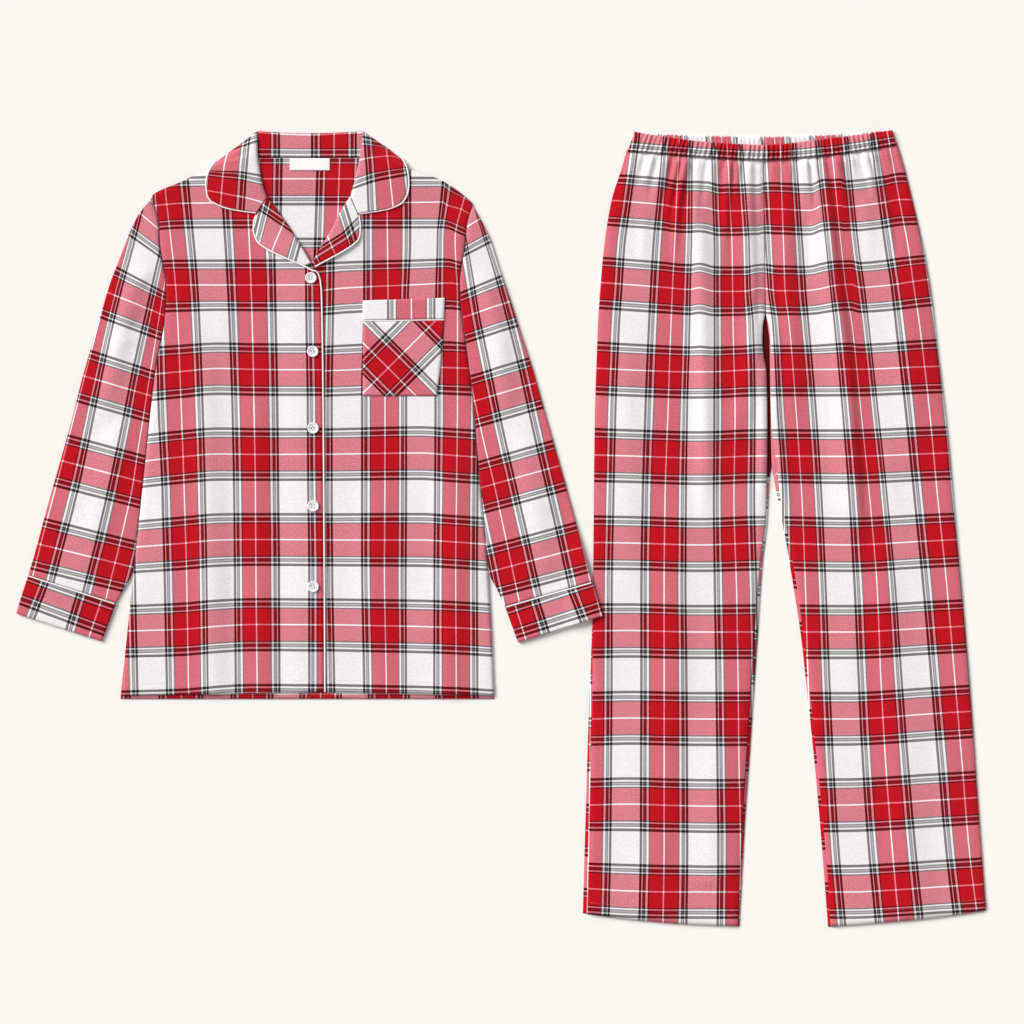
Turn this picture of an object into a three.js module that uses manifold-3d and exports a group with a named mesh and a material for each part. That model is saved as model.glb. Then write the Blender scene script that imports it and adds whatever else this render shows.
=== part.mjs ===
// A pyjama set laid flat: a long-sleeved shirt with a notched collar, and elastic-waist trousers beside it.
// Millimetres. +X runs from the shirt to the trousers, +Y from the hems to the collar, +Z up off the surface.
// The origin is on that surface, under the middle of the set. Right and left in a name are the wearer's own,
// so the right front is the one on the -X side.
import * as THREE from "three";
import Module from "manifold-3d";
import { mergeVertices } from "three/addons/utils/BufferGeometryUtils.js";

const CLOTH = 1.5; // one layer of brushed flannel, with its nap
const GAP = 0.3; // what two pieces keep between them, at seams and where one lies on another
const LAYER = CLOTH + GAP;
const COLLAR_CLOTH = 2; // a collar leaf or lapel is two layers pressed together
const BAND_CLOTH = 1.6; // one side of the elastic casing
const CUFF_CLOTH = 1.9;
const POCKET_CLOTH = 1.4;
const LABEL_CLOTH = 1;
const SLEEVE_GAP = 0.85; // sleeve and body are faceted at different places, so their seam needs more
const PIPING_RADIUS = 1.2;
const PIPING_GAP = 0.7; // the cord runs straight between its points, so it needs a little more
const NARROW_PIPING_RADIUS = 0.9;
const PLACKET_OVERLAP = 32; // from the right front's edge to where it steps down off the left front
const PLACKET_STEP = 12;
const MOST_LOFT = 3.5; // how far a fold lifts the upper layer
// The body climbs onto the back of the collar between these heights.
const COLLAR_RISE = { from: 400, to: 435 };

// The shirt body's outline, the same for back and fronts: its two sides at each height, shoulder to hem.
const BODY = [
  { y: 463, left: -318, right: -157.5 },
  { y: 450, left: -365, right: -117.7 },
  { y: 435, left: -396, right: -74 },
  { y: 414, left: -437, right: -44 },
  { y: 405, left: -434, right: -35.6 },
  { y: 400, left: -432, right: -37 },
  { y: 380, left: -427.6, right: -43 },
  { y: 357, left: -427, right: -44.7 },
  { y: 335, left: -423.5, right: -48 },
  { y: 326, left: -421.5, right: -50 },
  { y: 312, left: -419, right: -51.5 },
  { y: 290, left: -418.9, right: -51.2 },
  { y: 260, left: -420.8, right: -47.9 },
  { y: 234, left: -425, right: -44.6 },
  { y: 213, left: -429.6, right: -41.7 },
  { y: 160, left: -436.6, right: -35.1 },
  { y: 100, left: -443, right: -30.3 },
  { y: 40, left: -449.4, right: -24.7 },
  { y: -26, left: -456.4, right: -18.5 },
  { y: -95, left: -463.6, right: -13.8 },
  { y: -164, left: -470.9, right: -10.3 },
  { y: -209, left: -475.6, right: -8.8 },
];
const BACK_HEM = -213;
const FRONT_HEM = { side: -209.3, middle: -204.4 };

// Where each front ends towards the middle: the roll line of the neck above, the straight edge below.
const FRONT_EDGES = [
  { y: 463, right: -304, left: -176.5 },
  { y: 435, right: -298.8, left: -182.8 },
  { y: 414, right: -291.8, left: -188.6 },
  { y: 400, right: -281, left: -198.4 },
  { y: 380, right: -266.5, left: -209 },
  { y: 357, right: -252.2, left: -221.8 },
  { y: 335, right: -239.2, left: -235 },
  { y: 326, right: -235.2, left: -243 },
  { y: 312, right: -227.2, left: -249 },
  { y: 290, right: -225.2, left: -250 },
  { y: 160, right: -223.2, left: -250 },
  { y: -204, right: -220.9, left: -250 },
];

// Soft folds of the upper layers: a ridge along each line, with the half width of its two flanks.
const SHIRT_FOLDS = [
  { line: [[-385, 300], [-372, 150], [-366, 0], [-362, -209]], lift: 2.6, left: 16, right: 20 },
  { line: [[-300, 230], [-306, 60], [-300, -209]], lift: 1.8, left: 22, right: 18 },
  { line: [[-58, 150], [-60, 20], [-66, -209]], lift: 2.4, left: 20, right: 16 },
  { line: [[-150, 110], [-156, -30], [-150, -209]], lift: 1.7, left: 20, right: 22 },
];
const SLEEVE_FOLDS = [
  { line: [[-446, 350], [-476, 240], [-496, 130]], lift: 2.6, left: 14, right: 14 },
  { line: [[-470, 150], [-500, 20], [-520, -60]], lift: 1.8, left: 16, right: 14 },
  { line: [[-22, 330], [-4, 240], [10, 130]], lift: 2.6, left: 14, right: 14 },
  { line: [[22, 150], [44, 20], [58, -70]], lift: 1.8, left: 14, right: 16 },
];
const TROUSER_FOLDS = [
  { line: [[241, 470], [249, 348], [252, 248], [255, 123], [256, -20]], lift: 2.8, left: 11, right: 13 },
  { line: [[305, 466], [309, 340], [311, 240], [306, 120]], lift: 2.2, left: 13, right: 9 },
  { line: [[160, 300], [158, 100], [160, -120]], lift: 1.2, left: 20, right: 20 },
  { line: [[354, 466], [356, 340], [362, 240], [372, 130]], lift: 1.9, left: 10, right: 14 },
  {
    line: [[404, 473], [412, 360], [424, 270], [434, 180], [443, 60], [452, -60]],
    lift: 3.5,
    left: 22,
    right: 8,
  },
  { line: [[505, 380], [512, 240], [520, 60]], lift: 1.2, left: 20, right: 20 },
];

// Collar and lapels, row by row from the shoulder crease down: from the roll line out to the free edge.
const RIGHT_LEAF = [
  [[-304.6, 496.8], [-356.5, 458.5]],
  [[-304.3, 487], [-361, 451]],
  [[-303.8, 468], [-365.5, 441]],
  [[-301.5, 450], [-367.2, 431]],
  [[-298.5, 434], [-366, 417]],
  [[-295.5, 423], [-363.5, 412]],
  [[-292.2, 415], [-304.6, 395.4], [-324.8, 397.8], [-343.9, 401.6], [-360.1, 408.4]],
];
const LEFT_LEAF = [
  [[-172.6, 496.8], [-125.5, 463.3]],
  [[-172.9, 487], [-121, 456]],
  [[-175.3, 471], [-117.8, 447]],
  [[-178.5, 453], [-116.1, 434]],
  [[-182, 438], [-117.3, 420]],
  [[-185.3, 426], [-121, 412]],
  [[-187.9, 416], [-178.4, 394], [-158.3, 396.9], [-139.1, 400.6], [-125.8, 406.4]],
];
const RIGHT_LAPEL = [
  [[-291.7, 414.2], [-304, 394.4]],
  [[-285, 405], [-307.2, 385]],
  [[-278.8, 396.9], [-308.2, 377]],
  [[-271, 386], [-307.5, 369]],
  [[-263.5, 375.8], [-302, 357.5]],
  [[-252, 356.6], [-286, 347]],
  [[-243, 342], [-262, 336]],
  [[-237.2, 331.6], [-244.5, 328.4]],
];
const LEFT_LAPEL = [
  [[-188.5, 415], [-179.2, 393]],
  [[-194, 407], [-177.3, 384]],
  [[-200.4, 396.9], [-176.9, 375]],
  [[-205, 388], [-178, 364]],
  [[-210, 377.8], [-184.5, 356]],
  [[-219.5, 360.6], [-200, 346.5]],
  [[-226, 350], [-214, 340.5]],
  [[-230.5, 343], [-226, 337.5]],
];
// The back of the collar: the stand shows inside the neck, and the fall is folded under it.
const COLLAR_BACK = { roll: 497, seam: 463.4, fallEdge: 440, bridge: 3 };
const COLLAR_FALL = [
  { y: 497, left: -304, right: -173 },
  { y: 466, left: -344, right: -130 },
  { y: 452, left: -358, right: -120 },
  { y: 440, left: -350, right: -128 },
];

// Sleeves, ring by ring from the armhole to the cuff seam: outer edge first, underarm edge last.
// A lone number is a height on the body's side, which that end of the ring follows.
const RIGHT_SLEEVE = [
  [413, 390, 372, 353, 330.6, 313, 290],
  [[-455.9, 388.2], [-446, 358], [-437, 325], [-427, 292], 262],
  [[-475, 343], 232],
  [[-492.8, 295.4], 210],
  [[-508, 242], 165],
  [[-523, 191], 115],
  [[-538, 132], 62],
  [[-553, 78], 10],
  [[-569, 22], -35],
  [[-579, -16], [-461.2, -56]],
  [[-586, -41], [-472, -76]],
  [[-591.2, -57.6], [-481.3, -93]],
];
const LEFT_SLEEVE = [
  [403.6, 390, 372, 353, 331, 313, 300, 283],
  [[-15.4, 365.6], [-21, 345], [-30, 318], [-39, 285], 258],
  [[-1, 322], 230],
  [[12.1, 284], 208],
  [[25, 243.5], 165],
  [[40.5, 196], 115],
  [[56.5, 139], 62],
  [[73.8, 78.9], 10],
  [[88.5, 26], -35],
  [[99, -13.5], [-14.6, -56]],
  [[106.5, -41], [-4.2, -78]],
  [[113.6, -66], [4.7, -97]],
];
const RIGHT_CUFF = [
  [[-591.4, -58.1], [-481.5, -93.5]],
  [[-599.3, -83.2], [-490.6, -118.2]],
  [[-606.5, -106.2], [-499.2, -140.9]],
];
const LEFT_CUFF = [
  [[113.8, -66.5], [4.8, -97.5]],
  [[121.1, -88.8], [13.4, -121]],
  [[127.4, -109], [21.2, -142.5]],
];
// The left cuff's outer corner lies on the trouser leg.
const CUFF_OVER_TROUSERS = { from: 76, to: 103, lift: 3.8 };

// Trousers: each leg's outer and inner edges at each height. The back shows past the front by a few mm.
const RIGHT_LEG_OUTER = [
  { y: 471, front: 158.1, back: 158.1 },
  { y: 441, front: 149.4, back: 149.4 },
  { y: 407, front: 138.8, back: 138.8 },
  { y: 355, front: 130, back: 130 },
  { y: 285, front: 123.1, back: 123.1 },
  { y: 207, front: 119.6, back: 119.6 },
  { y: 123, front: 117.1, back: 117.1 },
  { y: -90, front: 115, back: 115 },
  { y: -215, front: 114, back: 110.4 },
  { y: -323, front: 111.2, back: 107 },
  { y: -482, front: 107.8, back: 102.4 },
];
const RIGHT_LEG_INNER = [
  { y: 460, front: 328, back: 328 },
  { y: 348, front: 329.8, back: 329.8 },
  { y: 230, front: 331.6, back: 331.6 },
  { y: 185, front: 334, back: 334 },
  { y: 73, front: 332.5, back: 333.8 },
  { y: 11, front: 330.8, back: 333.4 },
  { y: -47, front: 323.8, back: 327 },
  { y: -144, front: 315.9, back: 320.4 },
  { y: -215, front: 311.6, back: 315.6 },
  { y: -287, front: 306.9, back: 310.8 },
  { y: -359, front: 302.5, back: 305.6 },
  { y: -497, front: 296.1, back: 298.2 },
];
const LEFT_LEG_OUTER = [
  { y: 479, front: 494.9, back: 494.9 },
  { y: 441, front: 505.4, back: 505.4 },
  { y: 390, front: 517.6, back: 517.6 },
  { y: 334, front: 529.9, back: 529.9 },
  { y: 278, front: 538.8, back: 538.8 },
  { y: 218, front: 545.8, back: 545.8 },
  { y: 116, front: 558, back: 558 },
  { y: 11, front: 567.5, back: 567.5 },
  { y: -100, front: 577.8, back: 577.8 },
  { y: -233, front: 588.5, back: 588.5 },
  { y: -359, front: 597.5, back: 597.5 },
  { y: -477, front: 606.5, back: 606.5 },
];
const LEFT_LEG_INNER = [
  { y: 460, front: 328.6, back: 328.6 },
  { y: 348, front: 330.4, back: 330.4 },
  { y: 230, front: 332.2, back: 332.2 },
  { y: 208, front: 336, back: 334.8 },
  { y: 123, front: 340, back: 337 },
  { y: 50, front: 347.5, back: 343.6 },
  { y: -18, front: 360.8, back: 356.8 },
  { y: -72, front: 369.7, back: 365.6 },
  { y: -126, front: 377, back: 374 },
  { y: -215, front: 387.2, back: 384 },
  { y: -323, front: 398.4, back: 395 },
  { y: -431, front: 408.1, back: 404 },
  { y: -498, front: 412, back: 409.1 },
];
const RIGHT_LEG_HEM = [
  { x: 107.8, y: -482.1 },
  { x: 172.4, y: -490 },
  { x: 229.7, y: -494.6 },
  { x: 296.1, y: -497.5 },
];
const LEFT_LEG_HEM = [
  { x: 412, y: -497.9 },
  { x: 466.5, y: -493.6 },
  { x: 516.8, y: -489.4 },
  { x: 563.4, y: -483.9 },
  { x: 606.5, y: -477.4 },
];
const RIGHT_LEG = {
  outer: RIGHT_LEG_OUTER,
  inner: RIGHT_LEG_INNER,
  hem: RIGHT_LEG_HEM,
  outerEnds: [470.6, -482.1],
  innerEnds: [459.6, -497.5],
};
const LEFT_LEG = {
  outer: LEFT_LEG_OUTER,
  inner: LEFT_LEG_INNER,
  hem: LEFT_LEG_HEM,
  outerEnds: [478.4, -477.4],
  innerEnds: [459.6, -497.9],
};

// The elastic waistband, from one side to the other: its lower edge, and the upper edges of its two halves.
const WAISTBAND = [
  { x: 160.5, lower: 471, front: 496.4, back: 496.9 },
  { x: 202, lower: 467.5, front: 489.6, back: 492.6 },
  { x: 261, lower: 463, front: 482.4, back: 490.9 },
  { x: 328, lower: 460.2, front: 479.2, back: 489.8 },
  { x: 402, lower: 465.2, front: 486.2, back: 491.5 },
  { x: 454, lower: 472.2, front: 493, back: 495 },
  { x: 492.5, lower: 479, front: 497.6, back: 497.9 },
];
const WAIST_CORNERS = { left: [166.9, 158.1], right: [489.6, 494.9] }; // x at the upper and lower edge
const BAND_GATHERS = 45; // across each half of the waistband
const LEG_GATHERS = 11; // pleats below the band, across each front
const GATHER_DEPTH = 0.8;
const GATHER_FADE = 62; // the pleats die out this far below the band

const POCKET = {
  left: -172.8,
  bandTop: [284.9, 288.2],
  seam: [259.3, 260.8],
  seamWidth: 2.4,
  bottom: 165.6,
  right: [-70.1, -71.2, -79.9],
};
const BUTTONS = [
  { x: -237.4, y: 313 },
  { x: -235, y: 221.1 },
  { x: -234.6, y: 125.4 },
  { x: -234.4, y: 28.1 },
  { x: -234.4, y: -72.6 },
];
const BUTTON = { radius: 7.2, height: 2.8, rim: 1.3, well: 1, holeRadius: 0.9, holeSpacing: 2.8 };
const NECK_LABEL = { left: -263.9, right: -213.8, bottom: 447.5, top: 462.6 };

const COLOURS = {
  check: 0xc43a52,
  piping: 0xf4eeee,
  button: 0xf6f4f2,
  label: 0xf7f3f1,
};

const group = new THREE.Group();
const wasm = await Module();
wasm.setup();

const clamp = (value, low, high) => Math.min(high, Math.max(low, value));
const between = (a, b, share) => a + (b - a) * share;
const spread = (count) => Array.from({ length: count + 1 }, (_, i) => i / count);

// The value of a named column of a table at one place, straight between its rows.
function read(table, key, column, at) {
  const rows = table[0][key] < table[table.length - 1][key] ? table : [...table].reverse();
  if (at <= rows[0][key]) return rows[0][column];
  for (let i = 1; i < rows.length; i++) {
    const [a, b] = [rows[i - 1], rows[i]];
    if (at <= b[key]) return between(a[column], b[column], (at - a[key]) / (b[key] - a[key]));
  }
  return rows[rows.length - 1][column];
}

// The point at a share of the way along a run of straight stretches.
function along(points, share) {
  const lengths = points.slice(1).map((p, i) => Math.hypot(p[0] - points[i][0], p[1] - points[i][1]));
  let left = share * lengths.reduce((a, b) => a + b, 0);
  for (let i = 0; i < lengths.length; i++) {
    if (left <= lengths[i] || i === lengths.length - 1) {
      const t = clamp(left / lengths[i], 0, 1);
      return [between(points[i][0], points[i + 1][0], t), between(points[i][1], points[i + 1][1], t)];
    }
    left -= lengths[i];
  }
}

// A closed solid, built from strips of triangles between rows of points.
class Solid {
  points = [];
  faces = [];

  row(places) {
    return places.map(([x, y, z]) => this.points.push([x, y, z]) - 1);
  }

  face(a, b, c) {
    if (a !== b && b !== c && c !== a) this.faces.push([a, b, c]);
  }

  // Fills the strip between two rows, which may hold different numbers of points.
  zip(upper, lower, upperAt = spread(upper.length - 1), lowerAt = spread(lower.length - 1)) {
    let [i, j] = [0, 0];
    while (i < upper.length - 1 || j < lower.length - 1) {
      const upperNext = i < upper.length - 1 ? upperAt[i + 1] : Infinity;
      const lowerNext = j < lower.length - 1 ? lowerAt[j + 1] : Infinity;
      if (upperNext <= lowerNext) {
        this.face(upper[i], lower[j], upper[i + 1]);
        i++;
      } else {
        this.face(upper[i], lower[j], lower[j + 1]);
        j++;
      }
    }
  }

  geometry() {
    let volume = 0;
    for (const [a, b, c] of this.faces) {
      const [p, q, r] = [a, b, c].map((i) => new THREE.Vector3(...this.points[i]));
      volume += p.dot(q.cross(r));
    }
    const faces = volume < 0 ? this.faces.map(([a, b, c]) => [a, c, b]) : this.faces;
    const geometry = new THREE.BufferGeometry();
    geometry.setAttribute("position", new THREE.Float32BufferAttribute(this.points.flat(), 3));
    geometry.setIndex(faces.flat());
    geometry.computeVertexNormals();
    return geometry;
  }
}

// The edge of a sheet's face, all the way round, as point numbers and how far round each one is.
function edgeOf(rows, rowsAt) {
  const last = rows.length - 1;
  const ids = [];
  const at = [];
  const add = (id, place) => {
    ids.push(id);
    at.push(place);
  };
  rows.forEach((r, k) => add(r[0], rowsAt[k]));
  const acrossEnd = spread(rows[last].length - 1);
  rows[last].slice(1).forEach((id, i) => add(id, 1 + acrossEnd[i + 1]));
  for (let k = last - 1; k >= 0; k--) add(rows[k][rows[k].length - 1], 3 - rowsAt[k]);
  const acrossStart = spread(rows[0].length - 1);
  for (let i = rows[0].length - 2; i >= 0; i--) add(rows[0][i], 4 - acrossStart[i]);
  return { ids, at };
}

// A wall of cloth: rows of points for its upper face and its underside, and the edge between them.
function wall(upperRows, underRows, upperAt, underAt) {
  const solid = new Solid();
  const upper = upperRows.map((r) => solid.row(r));
  const under = underRows.map((r) => solid.row(r));
  for (let k = 1; k < upper.length; k++) solid.zip(upper[k - 1], upper[k]);
  for (let k = 1; k < under.length; k++) solid.zip(under[k], under[k - 1]);
  const a = edgeOf(upper, upperAt ?? spread(upper.length - 1));
  const b = edgeOf(under, underAt ?? spread(under.length - 1));
  solid.zip(a.ids, b.ids, a.at, b.at);
  return solid.geometry();
}

// A sheet between two faces, each given as a height over the plan at a place in its row.
function sheet(rows, columns, underside, upperside) {
  const face = (height) =>
    rows.map((r, k) =>
      columns.map((s) => {
        const [x, y] = along(r, s);
        return [x, y, height(x, y, s, k)];
      }),
    );
  return wall(face(upperside), face(underside));
}

// A tube of cloth pressed flat: each ring has an upper and a lower layer, with a slit of air between them.
function flatTube(rows, topColumns, floorColumns, thickness, lift, loft) {
  const solid = new Solid();
  const closed = (ids) => [...ids, ids[0]];
  const outer = [];
  const inner = [];
  rows.forEach((r, k) => {
    const width = Math.hypot(r[r.length - 1][0] - r[0][0], r[r.length - 1][1] - r[0][1]);
    const inset = thickness / width;
    const place = (s, height) => {
      const [x, y] = along(r, s);
      return [x, y, height(x, y, s, k)];
    };
    const top = (x, y, s, row) => lift(x, y) + 2 * thickness + GAP + loft(x, y, s, row);
    const floor = (x, y) => lift(x, y);
    const innerTop = (x, y, s, row) => top(x, y, s, row) - thickness;
    const innerFloor = (x, y) => floor(x, y) + thickness;
    const within = (s) => between(inset, 1 - inset, s);
    const innerColumns = topColumns.filter((_, i) => i % 2 === 0);
    outer.push(
      solid.row([
        ...topColumns.map((s) => place(s, top)),
        ...[...floorColumns].reverse().map((s) => place(s, floor)),
      ]),
    );
    inner.push(
      solid.row([
        ...innerColumns.map((s) => place(within(s), innerTop)),
        ...[...floorColumns].reverse().map((s) => place(within(s), innerFloor)),
      ]),
    );
  });
  const roundAt = (top, floor) => [
    ...top.map((s) => s),
    ...[...floor].reverse().map((s) => 3 - s),
    4,
  ];
  const outerAt = roundAt(topColumns, floorColumns);
  const innerAt = roundAt(topColumns.filter((_, i) => i % 2 === 0), floorColumns);
  for (let k = 1; k < rows.length; k++) {
    solid.zip(closed(outer[k - 1]), closed(outer[k]));
    solid.zip(closed(inner[k]), closed(inner[k - 1]));
  }
  const last = rows.length - 1;
  solid.zip(closed(inner[0]), closed(outer[0]), innerAt, outerAt);
  solid.zip(closed(outer[last]), closed(inner[last]), outerAt, innerAt);
  return solid.geometry();
}

// A round cord through a list of points.
function cord(points, radius, steps, sides = 6) {
  const outline = new THREE.Shape(
    Array.from({ length: sides }, (_, i) => {
      const turn = (2 * Math.PI * (i + 0.5)) / sides;
      return new THREE.Vector2(radius * Math.cos(turn), radius * Math.sin(turn));
    }),
  );
  const path = new THREE.CatmullRomCurve3(points.map((p) => new THREE.Vector3(...p)), false, "centripetal");
  return new THREE.ExtrudeGeometry(outline, { steps, bevelEnabled: false, extrudePath: path });
}

// A run of plan points moved sideways: to its right for a positive distance, looking along it.
function besideOf(points, distance) {
  return points.map((p, i) => {
    const before = points[Math.max(0, i - 1)];
    const after = points[Math.min(points.length - 1, i + 1)];
    const [dx, dy] = [after[0] - before[0], after[1] - before[1]];
    const length = Math.hypot(dx, dy);
    return [p[0] + (distance * dy) / length, p[1] - (distance * dx) / length];
  });
}

// To and from the kind of solid that can be joined and cut.
function toSolid(geometry) {
  geometry.deleteAttribute("normal");
  geometry.deleteAttribute("uv");
  const merged = mergeVertices(geometry, 1e-4);
  const triVerts = new Uint32Array(merged.index.array);
  const vertProperties = merged.attributes.position.array;
  return new wasm.Manifold(new wasm.Mesh({ numProp: 3, vertProperties, triVerts }));
}

function fromSolid(solid) {
  const mesh = solid.getMesh();
  const geometry = new THREE.BufferGeometry();
  geometry.setAttribute("position", new THREE.BufferAttribute(mesh.vertProperties, 3));
  geometry.setIndex(new THREE.BufferAttribute(mesh.triVerts, 1));
  geometry.computeVertexNormals();
  return geometry;
}

function add(name, geometry, colour, roughness = 0.9) {
  const material = new THREE.MeshStandardMaterial({ color: colour, roughness, metalness: 0 });
  const mesh = new THREE.Mesh(geometry, material);
  mesh.name = name;
  group.add(mesh);
}

// How far a fold lifts the upper layer at one place: the highest ridge there, fading at the ends of its line.
function foldLift(folds, x, y) {
  let highest = 0;
  for (const { line, lift, left, right } of folds) {
    const [top, foot] = [line[0][1], line[line.length - 1][1]];
    const k = clamp(line.findIndex((p) => p[1] < y), 1, line.length - 1);
    const [a, b] = [line[k - 1], line[k]];
    const centre = between(a[0], b[0], clamp((y - a[1]) / (b[1] - a[1]), 0, 1));
    const flank = x < centre ? (centre - x) / left : (x - centre) / right;
    const fadeLength = 0.25 * (top - foot);
    const runsOut = foot < -200 ? 1 : clamp((y - foot) / fadeLength, 0, 1);
    const ends = clamp((top - y) / fadeLength, 0, 1) * runsOut;
    highest = Math.max(highest, lift * Math.exp(-flank * flank) * ends);
  }
  return Math.min(highest, MOST_LOFT);
}

// Heights of the shirt's layers above the surface.
const bodyRise = (y) => LAYER * clamp((y - COLLAR_RISE.from) / (COLLAR_RISE.to - COLLAR_RISE.from), 0, 1);
const overlapRise = (y, fromEdge) =>
  LAYER *
  clamp((PLACKET_OVERLAP + PLACKET_STEP - fromEdge) / PLACKET_STEP, 0, 1) *
  clamp((357 - y) / (357 - 335), 0, 1);
const lapelRise = (y) => LAYER * clamp((372 - y) / (372 - 347), 0, 1);
// The folds stay clear of what is sewn on: collar, pocket and the edge with the buttons.
const sewnFlat = (x, y) => {
  const nearPocket = x > -190 && x < -66 && y > 130;
  const nearPlacket = x > -275 && x < -205;
  return nearPocket || nearPlacket || y > 300 ? 0 : 1;
};
const shirtFold = (x, y) => foldLift(SHIRT_FOLDS, x, y) * sewnFlat(x, y);

function bodyRows(leftOf, rightOf, hem) {
  const rows = BODY.slice(0, -1).map(({ y }) => [[leftOf(y), y], [rightOf(y), y]]);
  return [...rows, hem];
}
const sideLeft = (y) => read(BODY, "y", "left", y);
const sideRight = (y) => read(BODY, "y", "right", y);
const hemLevel = BODY[BODY.length - 1].y;

function shirtBack() {
  const hem = [[sideLeft(hemLevel), BACK_HEM], [sideRight(hemLevel), BACK_HEM]];
  const rows = bodyRows(sideLeft, sideRight, hem);
  return sheet(rows, spread(6), (x, y) => bodyRise(y), (x, y) => bodyRise(y) + CLOTH);
}

function rightFront() {
  const edge = (y) => read(FRONT_EDGES, "y", "right", y);
  const hem = [[sideLeft(hemLevel), FRONT_HEM.side], [edge(FRONT_HEM.middle), FRONT_HEM.middle]];
  const rows = bodyRows(sideLeft, edge, hem);
  const face = (height) =>
    rows.map((r) => {
      const [start, end] = r;
      const wide = end[0] - start[0];
      const steps = [PLACKET_OVERLAP + PLACKET_STEP, PLACKET_OVERLAP, 0].filter((d) => d < wide - 4);
      const rest = spread(7).map((s) => s * (1 - steps[0] / wide));
      const shares = [...rest, ...steps.slice(1).map((d) => 1 - d / wide)];
      return shares.map((s) => {
        const [x, y] = along(r, s);
        return [x, y, height(x, y, end[0] - x)];
      });
    });
  const under = (x, y, d) => bodyRise(y) + LAYER + overlapRise(y, d) + 0.8 * shirtFold(x, y);
  const upper = (x, y, d) => bodyRise(y) + LAYER + overlapRise(y, d) + CLOTH + shirtFold(x, y);
  return wall(face(upper), face(under));
}

function leftFront() {
  const edge = (y) => read(FRONT_EDGES, "y", "left", y);
  const hem = [[edge(FRONT_HEM.middle), FRONT_HEM.middle], [sideRight(hemLevel), FRONT_HEM.side]];
  const rows = bodyRows(edge, sideRight, hem);
  const under = (x, y) => bodyRise(y) + LAYER + 0.8 * shirtFold(x, y);
  const upper = (x, y) => bodyRise(y) + LAYER + CLOTH + shirtFold(x, y);
  return sheet(rows, spread(9), under, upper);
}

const cuffRise = (x) =>
  CUFF_OVER_TROUSERS.lift *
  clamp((x - CUFF_OVER_TROUSERS.from) / (CUFF_OVER_TROUSERS.to - CUFF_OVER_TROUSERS.from), 0, 1);

function sleeve(table, sideAt, outward) {
  const place = (p) => (Array.isArray(p) ? p : [sideAt(p) + SLEEVE_GAP * outward, p]);
  const rows = table.map((r) => r.map(place));
  const lift = (x, y) => cuffRise(x) * clamp((40 - y) / 90, 0, 1);
  const loft = (x, y, s) => 1.2 * Math.sin(Math.PI * s) + foldLift(SLEEVE_FOLDS, x, y) * 0.8;
  return flatTube(rows, spread(8), spread(4), CLOTH, lift, loft);
}

function cuff(rows) {
  const loft = (x, y, s) => 0.8 * Math.sin(Math.PI * s);
  return flatTube(rows, spread(8), spread(8), CUFF_CLOTH, cuffRise, loft);
}

// The narrow white cord along the seam between sleeve and cuff, on the upper layer.
function cuffPiping(rows) {
  const line = spread(6).map((s) => between(0.012, 0.988, s));
  const top = (x, s) => cuffRise(x) + 2 * CUFF_CLOTH + GAP + 0.8 * Math.sin(Math.PI * s);
  const inFromSeam = NARROW_PIPING_RADIUS + 0.6;
  const points = line.map((s) => {
    const seam = along(rows[0], s);
    const below = along(rows[1], s);
    const reach = inFromSeam / Math.hypot(below[0] - seam[0], below[1] - seam[1]);
    const [x, y] = [between(seam[0], below[0], reach), between(seam[1], below[1], reach)];
    return [x, y, top(x, s) + 0.55 + NARROW_PIPING_RADIUS];
  });
  return cord(points, NARROW_PIPING_RADIUS, 10);
}

const leafUnder = (y, row) => (row === 0 ? LAYER + 0.2 : bodyRise(y) + 2 * LAYER + 0.3);
const lapelUnder = (y) => bodyRise(y) + 2 * LAYER + 0.2 + lapelRise(y);

function collarLeaf(rows) {
  const columns = [0, 0.144, 0.287, 0.41, 0.54, 0.66, 0.782, 0.9, 1];
  const under = (x, y, s, row) => leafUnder(y, row);
  return sheet(rows, columns, under, (x, y, s, row) => leafUnder(y, row) + COLLAR_CLOTH);
}

function lapel(rows) {
  return sheet(rows, spread(4), (x, y) => lapelUnder(y), (x, y) => lapelUnder(y) + COLLAR_CLOTH);
}

// The stand and the fall are one piece of cloth, turned over at the roll line.
function collarBack() {
  const { roll, seam, bridge } = COLLAR_BACK;
  const fallRows = COLLAR_FALL.map(({ y, left, right }) => [[left, y], [right, y]]);
  const standRows = [[[-304, roll], [-173, roll]], [[-303.4, seam], [-177, seam]]];
  const bridgeRows = [[[-304, roll], [-173, roll]], [[-304, roll - bridge], [-173.2, roll - bridge]]];
  const standTop = LAYER + CLOTH;
  const parts = [
    sheet(fallRows, spread(4), () => 0, () => CLOTH),
    sheet(standRows, spread(4), () => LAYER, () => standTop),
    sheet(bridgeRows, spread(4), () => 0, () => standTop),
  ];
  const [fall, stand, turn] = parts.map(toSolid);
  return fromSolid(fall.add(stand).add(turn));
}

// Piping lies against the free edge of a leaf or lapel, just clear of it.
function edgePiping(edge, height, side, steps) {
  const beside = besideOf(edge, side * (PIPING_RADIUS + PIPING_GAP));
  return cord(beside.map(([x, y]) => [x, y, height(x, y)]), PIPING_RADIUS, steps);
}

function collarPiping(rows, side) {
  const freeEnds = rows.slice(1, -1).map((r) => r[1]);
  const bottom = rows[rows.length - 1].slice(1).reverse();
  const notch = bottom[bottom.length - 1];
  const before = bottom[bottom.length - 2];
  const stop = 1 - 6 / Math.hypot(notch[0] - before[0], notch[1] - before[1]);
  bottom[bottom.length - 1] = [between(before[0], notch[0], stop), between(before[1], notch[1], stop)];
  const height = (x, y) => bodyRise(y) + 2 * LAYER + 0.3 + COLLAR_CLOTH / 2 + 0.1;
  return edgePiping([...freeEnds, ...bottom], height, side, 26);
}

const pipingOnLapel = (y) => lapelUnder(y) + COLLAR_CLOTH / 2 + 0.1;

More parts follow.
